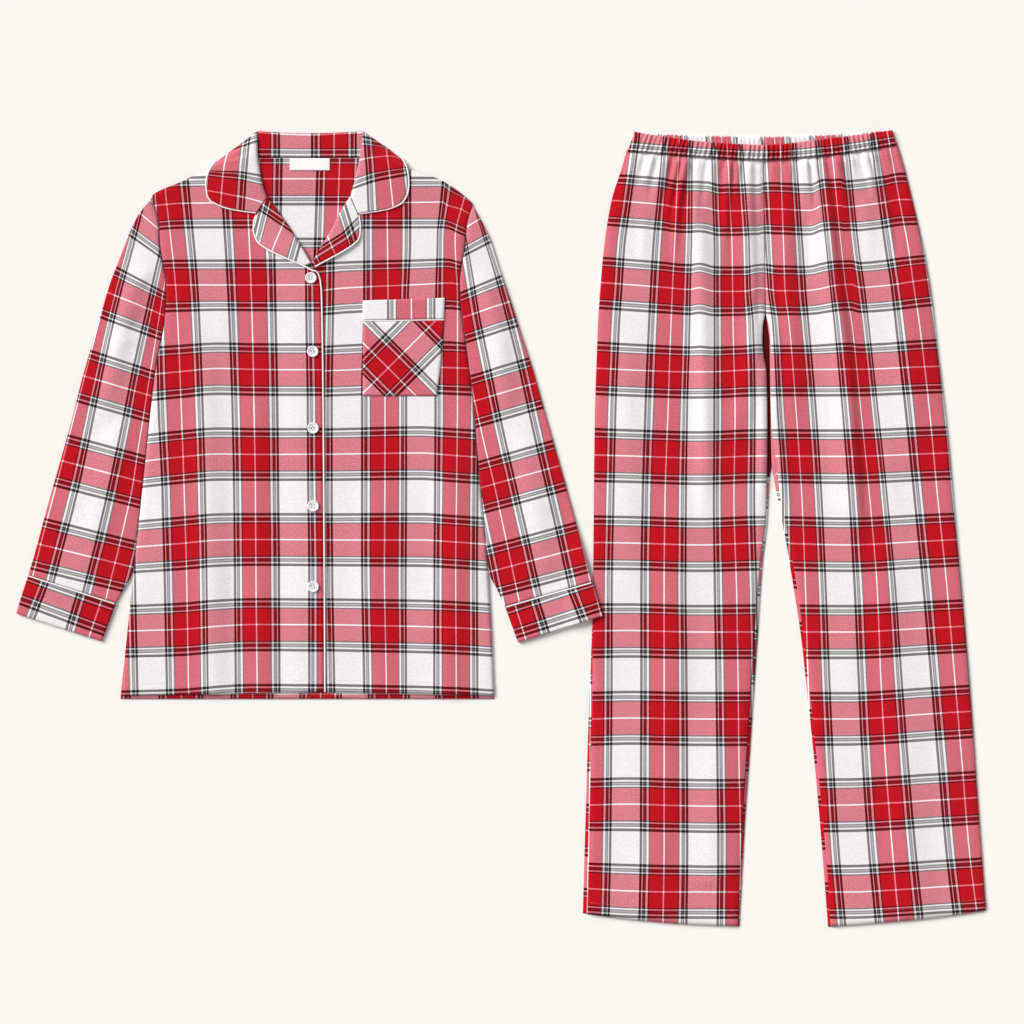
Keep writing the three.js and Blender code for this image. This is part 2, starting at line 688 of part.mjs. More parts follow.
function rightLapelPiping() {
  const lapelEdge = RIGHT_LAPEL.slice(1, -1).map((r) => r[1]);
  const upper = [[-305.9, 389], ...lapelEdge, [-247, 329.6]];
  const beside = besideOf(upper, PIPING_RADIUS + PIPING_GAP).map(([x, y]) => [x, y, pipingOnLapel(y)]);
  const onFront = LAYER + LAYER + CLOTH / 2;
  const edge = (y) => read(FRONT_EDGES, "y", "right", y) + PIPING_RADIUS + GAP;
  const turn = [[-236.4, 322.6, 7.7], [-229.8, 321.2, 7]];
  const heights = [314, 309, 290, 220, 160, 60, -60, -140, FRONT_HEM.middle];
  const lower = heights.map((y) => [edge(y) + (y > 300 ? 0.7 : 0.15), y, onFront + 0.6]);
  return cord([...beside, ...turn, ...lower], PIPING_RADIUS, 54);
}

function leftLapelPiping() {
  const lapelEdge = [[-178, 389], ...LEFT_LAPEL.slice(1).map((r) => r[1])];
  return edgePiping(lapelEdge, (x, y) => pipingOnLapel(y), -1, 16);
}

function pocketBody() {
  const { left, right, seam, seamWidth, bottom } = POCKET;
  const half = seamWidth / 2;
  const rows = [
    [[left, seam[0] - half], [right[1], seam[1] - half]],
    [[left, 212], [between(right[1], right[2], 0.5) + 1, 212]],
    [[left, bottom], [right[2], bottom]],
  ];
  return sheet(rows, spread(4), () => 2 * LAYER, () => 2 * LAYER + POCKET_CLOTH);
}

function pocketBand() {
  const { left, right, seam, seamWidth, bandTop } = POCKET;
  const half = seamWidth / 2;
  const rows = [
    [[left, bandTop[0]], [right[0], bandTop[1]]],
    [[left, seam[0] + half], [right[1], seam[1] + half]],
  ];
  return sheet(rows, spread(4), () => 2 * LAYER, () => 2 * LAYER + POCKET_CLOTH + 0.4);
}

function pocketPiping() {
  const { left, right, seam } = POCKET;
  const height = 2 * LAYER + NARROW_PIPING_RADIUS;
  return cord([[left, seam[0], height], [right[1], seam[1], height]], NARROW_PIPING_RADIUS, 2);
}

function button() {
  const { radius, height, rim, well, holeRadius, holeSpacing } = BUTTON;
  const profile = [
    [0, 0],
    [radius * 0.8, 0],
    [radius, height * 0.45],
    [radius - rim * 0.4, height],
    [radius - rim * 1.2, height],
    [radius - rim * 2, height - well],
    [0, height - well],
  ].map(([r, z]) => new THREE.Vector2(r, z));
  const disc = new THREE.LatheGeometry(profile, 20);
  disc.rotateX(Math.PI / 2);
  let solid = toSolid(disc);
  for (const [sx, sy] of [[-1, -1], [1, -1], [1, 1], [-1, 1]]) {
    const hole = new THREE.CylinderGeometry(holeRadius, holeRadius, 3 * height, 6);
    hole.rotateX(Math.PI / 2);
    hole.translate((sx * holeSpacing) / 2, (sy * holeSpacing) / 2, height / 2);
    solid = solid.subtract(toSolid(hole));
  }
  return fromSolid(solid);
}

function neckLabel() {
  const { left, right, bottom, top } = NECK_LABEL;
  const rows = [[[left, top], [right, top]], [[left, bottom], [right, bottom]]];
  const under = LAYER + CLOTH + GAP;
  return sheet(rows, spread(2), () => under, () => under + LABEL_CLOTH);
}

// One gathered pleat after another, a little uneven, as a share of the full depth.
function gathers(count, s) {
  const drift = 0.22 * Math.sin(2 * Math.PI * 2.3 * s + 0.7) + 0.12 * Math.sin(2 * Math.PI * 5.1 * s);
  return 0.5 + 0.5 * Math.cos(2 * Math.PI * (count * s + drift));
}

// A place on a leg: how far down from the waistband, and how far across from its -X edge.
function legPoint(leg, column, down, across) {
  const yOuter = between(leg.outerEnds[0], leg.outerEnds[1], down);
  const yInner = between(leg.innerEnds[0], leg.innerEnds[1], down);
  const edges = [read(leg.outer, "y", column, yOuter), read(leg.inner, "y", column, yInner)];
  const x = between(Math.min(...edges), Math.max(...edges), across);
  const top = read(WAISTBAND, "x", "lower", x) - 2.2 * GAP;
  return [x, between(top, read(leg.hem, "x", "y", x), down)];
}

function trouserFront(leg) {
  const length = leg.outerEnds[0] - leg.outerEnds[1];
  const gathered = [0, 14, 30, 46, GATHER_FADE].map((d) => d / length);
  const plain = [0.1, 0.14, 0.18, 0.23, 0.29, 0.36, 0.43, 0.51, 0.6, 0.7, 0.8, 0.9, 1];
  const shares = [...gathered, ...plain];
  const upper = shares.map((v, k) => {
    const dense = k < gathered.length - 1;
    const depth = GATHER_DEPTH * clamp(1 - (v * length) / GATHER_FADE, 0, 1);
    return spread(dense ? LEG_GATHERS * 4 : 14).map((s) => {
      const [x, y] = legPoint(leg, "front", v, s);
      const pleat = depth * gathers(LEG_GATHERS, s) * Math.sqrt(Math.sin(Math.PI * s) + 1e-9);
      return [x, y, LAYER + CLOTH + foldLift(TROUSER_FOLDS, x, y) + pleat];
    });
  });
  const underKept = shares.filter((_, k) => k === 0 || k >= gathered.length - 1);
  const under = underKept.map((v) =>
    spread(14).map((s) => {
      const [x, y] = legPoint(leg, "front", v, s);
      return [x, y, LAYER + 0.75 * foldLift(TROUSER_FOLDS, x, y)];
    }),
  );
  return wall(upper, under, shares, underKept);
}

function trouserBack(leg) {
  const shares = [0, 0.03, 0.06, 0.12, 0.2, 0.245, 0.31, 0.4, 0.5, 0.6, 0.75, 1];
  const face = (z) => shares.map((v) => spread(8).map((s) => [...legPoint(leg, "back", v, s), z]));
  return wall(face(CLOTH), face(0), shares, shares);
}

// The waistband is a ring pressed flat: gathered outside on its front half and inside on its back half.
function waistband() {
  const solid = new Solid();
  const closed = (ids) => [...ids, ids[0]];
  const dense = spread(BAND_GATHERS * 3);
  const coarse = spread(14);
  const { left, right } = WAIST_CORNERS;
  const columnX = (s, v, inset) => {
    const start = between(left[0], left[1], v) + inset;
    return between(start, between(right[0], right[1], v) - inset, s);
  };
  const point = (s, v, half, inset, height) => {
    const x = columnX(s, v, inset);
    const y = between(read(WAISTBAND, "x", half, x), read(WAISTBAND, "x", "lower", x), v);
    return [x, y, height(s)];
  };
  const floorTop = BAND_CLOTH + 0.1;
  const seat = (s) => floorTop + GAP + 0.9 * Math.sin(Math.PI * s) + 0.9;
  const pleat = (s) => GATHER_DEPTH * gathers(BAND_GATHERS, s) * Math.min(1, 20 * s, 20 * (1 - s));
  const pleatedFloor = (s) => floorTop - 0.6 + 0.7 * pleat(s);
  const rollDown = [0, 0.55, 0];
  const outer = [0, 0.5, 1].map((v, k) =>
    solid.row([
      ...dense.map((s) => point(s, v, "front", 0, () => seat(s) + BAND_CLOTH + pleat(s) + rollDown[k])),
      ...[...coarse].reverse().map((s) => point(s, v, "back", 0, () => 0)),
    ]),
  );
  const wallInset = BAND_CLOTH + 0.4;
  const inner = [0, 1].map((v) =>
    solid.row([
      ...coarse.map((s) => point(s, v, "front", wallInset, () => seat(s))),
      ...[...dense].reverse().map((s) => point(s, v, "back", wallInset, () => pleatedFloor(s))),
    ]),
  );
  const roundAt = (front, back) => [...front, ...[...back].reverse().map((s) => 3 - s), 4];
  const outerAt = roundAt(dense, coarse);
  const innerAt = roundAt(coarse, dense);
  for (let k = 1; k < outer.length; k++) solid.zip(closed(outer[k - 1]), closed(outer[k]));
  solid.zip(closed(inner[1]), closed(inner[0]));
  solid.zip(closed(inner[0]), closed(outer[0]), innerAt, outerAt);
  solid.zip(closed(outer[2]), closed(inner[1]), outerAt, innerAt);
  return solid.geometry();
}

add("shirt_back", shirtBack(), COLOURS.check);
add("shirt_front_right", rightFront(), COLOURS.check);
add("shirt_front_left", leftFront(), COLOURS.check);
add("sleeve_right", sleeve(RIGHT_SLEEVE, sideLeft, -1), COLOURS.check);
add("sleeve_left", sleeve(LEFT_SLEEVE, sideRight, 1), COLOURS.check);
add("cuff_right", cuff(RIGHT_CUFF), COLOURS.check);
add("cuff_left", cuff(LEFT_CUFF), COLOURS.check);
add("cuff_piping_right", cuffPiping(RIGHT_CUFF), COLOURS.piping);
add("cuff_piping_left", cuffPiping(LEFT_CUFF), COLOURS.piping);
add("collar_back", collarBack(), COLOURS.check);
add("collar_leaf_right", collarLeaf(RIGHT_LEAF), COLOURS.check);
add("collar_leaf_left", collarLeaf(LEFT_LEAF), COLOURS.check);
add("lapel_right", lapel(RIGHT_LAPEL), COLOURS.check);
add("lapel_left", lapel(LEFT_LAPEL), COLOURS.check);
add("collar_piping_right", collarPiping(RIGHT_LEAF, 1), COLOURS.piping);
add("collar_piping_left", collarPiping(LEFT_LEAF, -1), COLOURS.piping);
add("front_piping_right", rightLapelPiping(), COLOURS.piping);
add("lapel_piping_left", leftLapelPiping(), COLOURS.piping);
add("pocket", pocketBody(), COLOURS.check);
add("pocket_band", pocketBand(), COLOURS.check);
add("pocket_piping", pocketPiping(), COLOURS.piping);
add("neck_label", neckLabel(), COLOURS.label, 0.6);
add("trouser_back_right", trouserBack(RIGHT_LEG), COLOURS.check);
add("trouser_back_left", trouserBack(LEFT_LEG), COLOURS.check);
add("trouser_front_right", trouserFront(RIGHT_LEG), COLOURS.check);
add("trouser_front_left", trouserFront(LEFT_LEG), COLOURS.check);
add("waistband", waistband(), COLOURS.check);
BUTTONS.forEach(({ x, y }, i) => {
  const geometry = button();
  geometry.translate(x, y, 3 * LAYER);
  add(`button_${i + 1}`, geometry, COLOURS.button, 0.35);
});

export default group;
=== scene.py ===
import math
import random
from bisect import bisect_right

import bmesh
import bpy
from mathutils import Matrix, Vector, noise


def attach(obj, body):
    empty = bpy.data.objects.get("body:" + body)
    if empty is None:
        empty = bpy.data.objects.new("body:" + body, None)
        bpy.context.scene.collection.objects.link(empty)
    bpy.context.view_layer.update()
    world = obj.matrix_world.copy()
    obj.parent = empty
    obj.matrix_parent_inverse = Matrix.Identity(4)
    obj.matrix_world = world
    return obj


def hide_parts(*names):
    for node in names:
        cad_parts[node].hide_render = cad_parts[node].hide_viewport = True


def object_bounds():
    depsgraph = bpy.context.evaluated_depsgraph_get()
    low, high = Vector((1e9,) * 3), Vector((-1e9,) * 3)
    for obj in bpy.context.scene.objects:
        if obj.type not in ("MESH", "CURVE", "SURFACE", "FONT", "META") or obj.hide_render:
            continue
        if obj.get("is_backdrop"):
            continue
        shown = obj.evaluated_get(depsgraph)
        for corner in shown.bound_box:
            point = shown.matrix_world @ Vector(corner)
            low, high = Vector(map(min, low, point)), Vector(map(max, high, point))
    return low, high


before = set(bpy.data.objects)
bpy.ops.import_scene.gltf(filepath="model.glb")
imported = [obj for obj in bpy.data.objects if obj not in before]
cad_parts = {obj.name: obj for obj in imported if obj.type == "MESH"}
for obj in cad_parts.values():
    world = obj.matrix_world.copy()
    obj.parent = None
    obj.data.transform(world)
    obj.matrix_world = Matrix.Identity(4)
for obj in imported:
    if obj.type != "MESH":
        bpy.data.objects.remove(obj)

cad_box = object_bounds()

# A pyjama set laid flat. Tables and sizes are in millimetres, with +Y towards the collar and the waistband.
# Right and left in a name are the wearer's own, so the right front is the one on the -X side.
MM = 0.001
CLOTH = 1.5
GAP = 0.3
LAYER = CLOTH + GAP
WALL = 1.3  # the thickness that a single layer is drawn with
COLLAR_WALL = 1.8
STAND_WALL = 1.35
CUFF_WALL = 1.7
POCKET_CLOTH = 1.4
BAND_WALL = 1.3
SLEEVE_GAP = 0.6
PIPING_RADIUS = 0.95
NARROW_PIPING_RADIUS = 0.8
PLACKET_OVERLAP = 27
PLACKET_STEP = 32
MOST_LOFT = 3.5
CREASE_DEPTH = 1.5  # creases are this much deeper than their tables say
RISE_WIDTHS = 3  # a fold or crease is nothing this many widths away from its line
SLEEVE = {"height": 3.3, "turn": 1.8, "belly": 1.2, "seam_drop": 1.1, "seam": 7}
CUFF = {"height": 4.1, "turn": 2, "belly": 0.8, "drop": 0.5, "seam": 3, "edge": 2.5, "depth": 50}
POCKET_CLEAR = 0.25  # from the left front to the pocket's underside
PIPING_LIFT = 1.1  # from under a collar leaf or lapel to the middle of its piping
STITCH = {"length": 2.1, "pitch": 3.1, "width": 0.5, "height": 0.36}
CORD_ROUNDING = 3
ACROSS_REPEAT = 91.5  # one repeat of the check across the cloth, from red stripe to red stripe
ALONG_REPEAT = 107.5


def clamp(value, low, high):
    return min(high, max(low, value))


def between(a, b, share):
    return a + (b - a) * share


def ease(share):
    share = clamp(share, 0, 1)
    return share * share * (3 - 2 * share)


def fading(height, far, width):
    """A height that is whole at an edge and gone a width further in."""
    return height * (1 - ease(far / width))


def quarter_turn(far, radius):
    """How far up a rounded edge is, as a share of its height, at a distance in from where it turns."""
    return math.sqrt(1 - (1 - min(1, far / radius)) ** 2)


def table(columns, *rows):
    return [dict(zip(columns.split(), row)) for row in rows]


def smooth_line(points):
    """A smooth curve through (at, value) points that never swings out past them, and runs on straight."""
    points = sorted(points)
    at = [p[0] for p in points]
    value = [p[1] for p in points]
    if len(points) == 1:
        return lambda x: value[0]
    step = [b - a for a, b in zip(at, at[1:])]
    slope = [(b - a) / h for a, b, h in zip(value, value[1:], step)]
    inner = [0 if a * b <= 0 else 2 * a * b / (a + b) for a, b in zip(slope, slope[1:])]
    lean = [slope[0], *inner, slope[-1]]

    def value_at(x):
        if x <= at[0]:
            return value[0] + (x - at[0]) * lean[0]
        if x >= at[-1]:
            return value[-1] + (x - at[-1]) * lean[-1]
        i = bisect_right(at, x) - 1
        t = (x - at[i]) / step[i]
        start = value[i] * (1 + 2 * t) * (1 - t) ** 2 + step[i] * lean[i] * t * (1 - t) ** 2
        end = value[i + 1] * (3 - 2 * t) * t * t + step[i] * lean[i + 1] * (t - 1) * t * t
        return start + end

    return value_at


def column(rows, key, name):
    return smooth_line([(row[key], row[name]) for row in rows])


def route(points):
    """The place at a share of the way along a run of straight stretches."""
    reach = [0]
    for a, b in zip(points, points[1:]):
        reach.append(reach[-1] + math.dist(a, b))

    def place(share):
        far = clamp(share, 0, 1) * reach[-1]
        i = clamp(bisect_right(reach, far) - 1, 0, len(points) - 2)
        part = (far - reach[i]) / (reach[i + 1] - reach[i])
        return [between(a, b, part) for a, b in zip(points[i], points[i + 1])]

    place.length = reach[-1]
    return place


def rounded(points, steps=8):
    """The same run of points with its turns made smooth."""
    found = []
    for i in range(len(points) - 1):
        before = points[max(0, i - 1)]
        after = points[min(len(points) - 1, i + 2)]
        a, b = points[i], points[i + 1]
        for k in range(steps):
            t = k / steps
            found.append([
                0.5 * (2 * q + (r - p) * t + (2 * p - 5 * q + 4 * r - w) * t * t
                       + (3 * q - p - 3 * r + w) * t**3)
                for p, q, r, w in zip(before, a, b, after)
            ])
    return [*found, list(points[-1])]


# The shirt body's outline, the same for back and fronts: its two sides at each height, shoulder to hem.
BODY = table(
    "y left right",
    (463, -318, -157.5),
    (450, -365, -117.7),
    (435, -396, -74),
    (414, -437, -44),
    (405, -434, -35.6),
    (400, -432, -37),
    (380, -427.6, -43),
    (357, -427, -44.7),
    (335, -423.5, -48),
    (326, -421.5, -50),
    (312, -419, -51.5),
    (290, -418.9, -51.2),
    (260, -420.8, -47.9),
    (234, -425, -44.6),
    (213, -429.6, -41.7),
    (160, -436.6, -35.1),
    (100, -443, -30.3),
    (40, -449.4, -24.7),
    (-26, -456.4, -18.5),
    (-95, -463.6, -13.8),
    (-164, -470.9, -10.3),
    (-209, -475.6, -8.8),
)
BODY_TOP = 463
BACK_HEM = -213
HEM_SIDE = -209.3  # the height of the fronts' hem at the sides
HEM_MIDDLE = -204.4
HEM_DEPTH = 15  # from a hem's edge to its stitching
body_left = column(BODY, "y", "left")
body_right = column(BODY, "y", "right")

# Where each front ends towards the middle: the roll line of the neck above, the straight edge below.
FRONT_EDGES = table(
    "y right left",
    (463, -304, -176.5),
    (435, -298.8, -182.8),
    (414, -291.8, -188.6),
    (400, -281, -198.4),
    (380, -266.5, -209),
    (357, -252.2, -221.8),
    (335, -239.2, -235),
    (326, -235.2, -243),
    (312, -227.2, -249),
    (290, -225.2, -250),
    (160, -223.2, -250),
    (-204, -220.9, -250),
)
right_edge = column(FRONT_EDGES, "y", "right")
left_edge = column(FRONT_EDGES, "y", "left")

# Collar and lapels, row by row from the shoulder crease down: from the roll line out to the free edge.
RIGHT_LEAF = [
    [(-304.6, 496.8), (-356.5, 458.5)],
    [(-304.3, 487), (-361, 451)],
    [(-303.8, 468), (-365.5, 441)],
    [(-301.5, 450), (-367.2, 431)],
    [(-298.5, 434), (-366, 417)],
    [(-295.5, 423), (-363.5, 412)],
    [(-292.2, 415), (-304.6, 395.4), (-324.8, 397.8), (-343.9, 401.6), (-360.1, 408.4)],
]
LEFT_LEAF = [
    [(-172.6, 496.8), (-125.5, 463.3)],
    [(-172.9, 487), (-121, 456)],
    [(-175.3, 471), (-117.8, 447)],
    [(-178.5, 453), (-116.1, 434)],
    [(-182, 438), (-117.3, 420)],
    [(-185.3, 426), (-121, 412)],
    [(-187.9, 416), (-178.4, 394), (-158.3, 396.9), (-139.1, 400.6), (-125.8, 406.4)],
]
RIGHT_LAPEL = [
    [(-291.7, 414.2), (-304, 394.4)],
    [(-285, 405), (-307.2, 385)],
    [(-278.8, 396.9), (-308.2, 377)],
    [(-271, 386), (-307.5, 369)],
    [(-263.5, 375.8), (-302, 357.5)],
    [(-252, 356.6), (-286, 347)],
    [(-243, 342), (-262, 336)],
    [(-237.2, 331.6), (-244.5, 328.4)],
]
LEFT_LAPEL = [
    [(-188.5, 415), (-179.2, 393)],
    [(-194, 407), (-177.3, 384)],
    [(-200.4, 396.9), (-176.9, 375)],
    [(-205, 388), (-178, 364)],
    [(-210, 377.8), (-184.5, 356)],
    [(-219.5, 360.6), (-200, 345.8)],
    [(-226, 350), (-213.5, 338.4)],
    [(-230.5, 342), (-225, 332.2)],
    [(-235, 333.5), (-232.6, 328)],
]
# The back of the collar: its stand shows inside the neck, and its fall is folded under it.
STAND = {"left": -303.6, "right": -171.5, "roll": 497, "sag": 2.6, "seam": 463.4, "fall_edge": 440}
COLLAR_BACK = table(
    "y left right",
    (497, -304, -173),
    (466, -344, -130),
    (452, -358, -120),
    (440, -350, -128),
)

# Sleeves, ring by ring from the armhole to the cuff seam: outer edge first, underarm edge last.
# A lone number is a height on the body's side, which that end of the ring follows.
RIGHT_SLEEVE = [
    [413, 390, 372, 353, 330.6, 313, 290],
    [(-455.9, 388.2), (-446, 358), (-437, 325), (-427, 292), 262],
    [(-475, 343), 232],
    [(-492.8, 295.4), 210],
    [(-508, 242), 165],
    [(-523, 191), 115],
    [(-538, 132), 62],
    [(-553, 78), 10],
    [(-569, 22), -35],
    [(-579, -16), (-461.2, -56)],
    [(-586, -41), (-472, -76)],
    [(-591.2, -57.6), (-481.3, -93)],
]
LEFT_SLEEVE = [
    [403.6, 390, 372, 353, 331, 313, 300, 283],
    [(-15.4, 365.6), (-21, 345), (-30, 318), (-39, 285), 258],
    [(-1, 322), 230],
    [(12.1, 284), 208],
    [(25, 243.5), 165],
    [(40.5, 196), 115],
    [(56.5, 139), 62],
    [(73.8, 78.9), 10],
    [(88.5, 26), -35],
    [(99, -13.5), (-14.6, -56)],
    [(106.5, -41), (-4.2, -78)],
    [(113.6, -66), (4.7, -97)],
]
RIGHT_CUFF = [
    [(-591.4, -58.1), (-481.5, -93.5)],
    [(-599.3, -83.2), (-490.6, -118.2)],
    [(-606.5, -106.2), (-499.2, -140.9)],
]
LEFT_CUFF = [
    [(113.8, -66.5), (4.8, -97.5)],
    [(121.1, -88.8), (13.4, -121)],
    [(127.4, -109), (21.2, -142.5)],
]
# The left cuff's outer corner lies on the trouser leg.
CUFF_OVER_TROUSERS = {"from": 76, "to": 103, "lift": 3.8}

# Trousers: each leg's outer and inner edges at each height. The back shows past the front by a few mm.
RIGHT_LEG_OUTER = table(
    "y front back",
    (471, 158.1, 158.1),
    (441, 149.4, 149.4),
    (407, 138.8, 138.8),
    (355, 130, 130),
    (285, 123.1, 123.1),
    (207, 119.6, 119.6),
    (123, 117.1, 117.1),
    (-90, 115, 115),
    (-215, 114, 110.4),
    (-323, 111.2, 107),
    (-482, 107.8, 102.4),
)
RIGHT_LEG_INNER = table(
    "y front back",
    (460, 328, 328),
    (348, 329.8, 329.8),
    (268, 330.4, 331.4),
    (250, 327.2, 334),
    (232, 326.6, 336),
    (213, 328.2, 336.6),
    (192, 331.8, 336.8),
    (123, 332.8, 337.6),
    (78, 332.6, 338.4),
    (60, 332.3, 335.8),
    (11, 330.8, 333.4),
    (-47, 323.8, 327),
    (-144, 315.9, 320.4),
    (-215, 311.6, 315.6),
    (-287, 306.9, 310.8),
    (-359, 302.5, 305.6),
    (-497, 296.1, 298.2),
)
LEFT_LEG_OUTER = table(
    "y front back",
    (479, 494.9, 494.9),
    (441, 505.4, 505.4),
    (390, 517.6, 517.6),
    (334, 529.9, 529.9),
    (278, 538.8, 538.8),
    (218, 545.8, 545.8),
    (116, 558, 558),
    (11, 567.5, 567.5),
    (-100, 577.8, 577.8),
    (-233, 588.5, 588.5),
    (-359, 597.5, 597.5),
    (-477, 606.5, 606.5),
)
LEFT_LEG_INNER = table(
    "y front back",
    (460, 328.6, 328.6),
    (348, 330.4, 330.4),
    (268, 331.2, 331),
    (250, 335, 333.6),
    (232, 336.8, 335.6),
    (192, 336.6, 336.2),
    (125, 338, 337),
    (100, 341.6, 337.8),
    (78, 344.4, 338.8),
    (50, 347.5, 343.6),
    (-18, 360.8, 356.8),
    (-72, 369.7, 365.6),
    (-126, 377, 374),
    (-215, 387.2, 384),
    (-323, 398.4, 395),
    (-431, 408.1, 404),
    (-498, 412, 409.1),
)
RIGHT_LEG_HEM = table("x y", (107.8, -482.1), (172.4, -490), (229.7, -494.6), (296.1, -497.5))
LEFT_LEG_HEM = table(
    "x y", (412, -497.9), (466.5, -493.6), (516.8, -489.4), (563.4, -483.9), (606.5, -477.4)
)
RIGHT_LEG = {
    "outer": RIGHT_LEG_OUTER,
    "inner": RIGHT_LEG_INNER,
    "hem": column(RIGHT_LEG_HEM, "x", "y"),
    "outer_ends": (470.6, -482.1),
    "inner_ends": (459.6, -497.5),
}
LEFT_LEG = {
    "outer": LEFT_LEG_OUTER,
    "inner": LEFT_LEG_INNER,
    "hem": column(LEFT_LEG_HEM, "x", "y"),
    "outer_ends": (478.4, -477.4),
    "inner_ends": (459.6, -497.9),
}

# The elastic waistband, from one side to the other: its lower edge, and the upper edges of its two halves.
WAISTBAND = table(
    "x lower front back",
    (160.5, 471, 496.4, 496.9),
    (202, 467.5, 489.6, 492.6),
    (261, 463, 482.4, 490.9),
    (328, 460.2, 479.2, 489.8),
    (402, 465.2, 486.2, 491.5),
    (454, 472.2, 493, 495),
    (492.5, 479, 497.6, 497.9),
)
BAND_GROUP = 6.5  # from the band's lower edge to the middle of its group of stripes
BACK_BAND_SHIFT = 6.2
BACK_BAND_ROW = 0.42
WAIST_CORNERS = {"left": (166.9, 158.1), "right": (489.6, 494.9)}  # x at the upper and lower edge
BAND_GATHERS = 58
BAND_HEIGHT = 4.1
CENTRE_SEAM = 328.3
RIGHT_LEG_SEED = 5
LEFT_LEG_SEED = 8
LEG_GATHERS = 11
GATHER_DEPTH = 4.2
GATHER_FADE = 96  # how far down the longest reach
FINE_GATHERS = 2.4  # for each large one
FINE_DEPTH = 1.5
FINE_FADE = 36
UNDER_BAND = 4  # how far the legs' cloth runs up inside the waistband
CROTCH = {"swell": 3.3, "top": 300, "foot": 10, "fade": 70, "from_edge": 5, "width": 8}

POCKET = {
    "left": -172.8,
    "band_top": (284.9, 288.2),
    "seam": (259.3, 260.8),
    "seam_width": 2.4,
    "bottom": 165.6,
    "right": (-70.1, -71.2, -79.9),
}
BUTTONS = [(-237.4, 313), (-235, 221.1), (-234.6, 125.4), (-234.4, 28.1), (-234.4, -72.6)]
BUTTON = {
    "radius": 7.2,
    "height": 2.8,
    "well": 1,
    "hole_radius": 0.9,
    "hole_spacing": 2.8,
    "thread_length": 4,
    "thread_width": 0.84,
    "thread_sunk": 0.65,
    "under": 3 * LAYER + 0.1,
}
NECK_LABEL = {"left": -263.9, "right": -213.8, "bottom": 447.5, "top": 462.6}

# Soft folds of the upper layers: a ridge down each line, with the widths of its two flanks.
SHIRT_FOLDS = [
    {"line": [(-385, 300), (-372, 150), (-366, 0), (-362, -209)], "lift": 2.6, "left": 16, "right": 20},
    {"line": [(-300, 230), (-306, 60), (-300, -209)], "lift": 1.8, "left": 22, "right": 18},
    {"line": [(-58, 150), (-60, 20), (-66, -209)], "lift": 2.4, "left": 20, "right": 16},
    {"line": [(-150, 110), (-156, -30), (-150, -209)], "lift": 1.7, "left": 20, "right": 22},
]
SLEEVE_FOLDS = [
    {"line": [(-446, 350), (-476, 240), (-496, 130)], "lift": 2.6, "left": 14, "right": 14},
    {"line": [(-470, 150), (-500, 20), (-520, -60)], "lift": 1.8, "left": 16, "right": 14},
    {"line": [(-22, 330), (-4, 240), (10, 130)], "lift": 2.6, "left": 14, "right": 14},
    {"line": [(22, 150), (44, 20), (58, -70)], "lift": 1.8, "left": 14, "right": 16},
]
TROUSER_FOLDS = [
    {
        "line": [(241, 470), (249, 348), (252, 248), (255, 123), (256, -20)],
        "lift": 2.8,
        "left": 11,
        "right": 13,
    },
    {"line": [(305, 466), (311, 340), (314, 240), (306, 100)], "lift": 2.6, "left": 13, "right": 9},
    {"line": [(160, 300), (158, 100), (160, -120)], "lift": 1.2, "left": 20, "right": 20},
    {"line": [(354, 466), (356, 340), (362, 240), (372, 130)], "lift": 1.9, "left": 10, "right": 14},
    {
        "line": [(404, 473), (412, 360), (424, 270), (434, 180), (443, 60), (452, -60)],
        "lift": 3.5,
        "left": 22,
        "right": 8,
    },
    {"line": [(505, 380), (512, 240), (520, 60)], "lift": 1.2, "left": 20, "right": 20},
    {"line": [(222, 90), (212, -120), (202, -340), (196, -480)], "lift": 1.5, "left": 28, "right": 20},
    {"line": [(276, -60), (270, -250), (262, -440)], "lift": 1.1, "left": 18, "right": 22},
    {"line": [(474, 20), (488, -160), (504, -330), (518, -480)], "lift": 1.6, "left": 26, "right": 20},
]

# Creases, each between two places. A height below nothing is a depth.
SHIRT_CREASES = table(
    "x1 y1 x2 y2 height width",
    (-415, 395, -392, 330, 0.8, 7),
    (-408, 340, -384, 262, -0.7, 9),
    (-58, 398, -50, 336, 1.5, 5),
    (-48, 380, -56, 330, -1.3, 4),
    (-50, 352, -66, 318, -1.0, 5),
    (-52, 330, -84, 268, 0.7, 8),
    (-425, 250, -404, 150, 0.6, 9),
    (-340, 330, -352, 210, 0.5, 12),
    (-130, 380, -100, 310, -0.5, 12),
    (-436, 60, -410, -40, 0.6, 10),
    (-420, -60, -398, -190, -0.6, 12),
    (-330, 10, -338, -150, -0.6, 13),
    (-262, 120, -268, -30, -0.4, 9),
    (-110, 130, -104, -10, -0.6, 12),
    (-34, 60, -48, -70, 0.7, 9),
    (-100, -60, -92, -200, 0.6, 11),
    (-196, 60, -204, -120, -0.5, 12),
)
SLEEVE_CREASES = table(
    "x1 y1 x2 y2 height width",
    (-433, 330, -462, 292, 0.9, 6),
    (-428, 290, -470, 236, -0.8, 7),
    (-447, 250, -497, 214, 0.6, 8),
    (-470, 140, -520, 112, -0.6, 8),
    (-500, 60, -548, 24, 0.6, 9),
    (-482, -10, -540, -34, -0.6, 7),
    (-510, -40, -560, -20, 0.5, 6),
    (-36, 318, -6, 276, 0.9, 6),
    (-34, 276, 6, 228, -0.8, 7),
    (-22, 240, 24, 206, 0.6, 8),
    (2, 130, 50, 108, -0.6, 8),
    (24, 44, 78, 16, 0.6, 9),
    (6, -24, 62, -46, -0.6, 7),
    (40, -50, 92, -30, 0.5, 6),
)
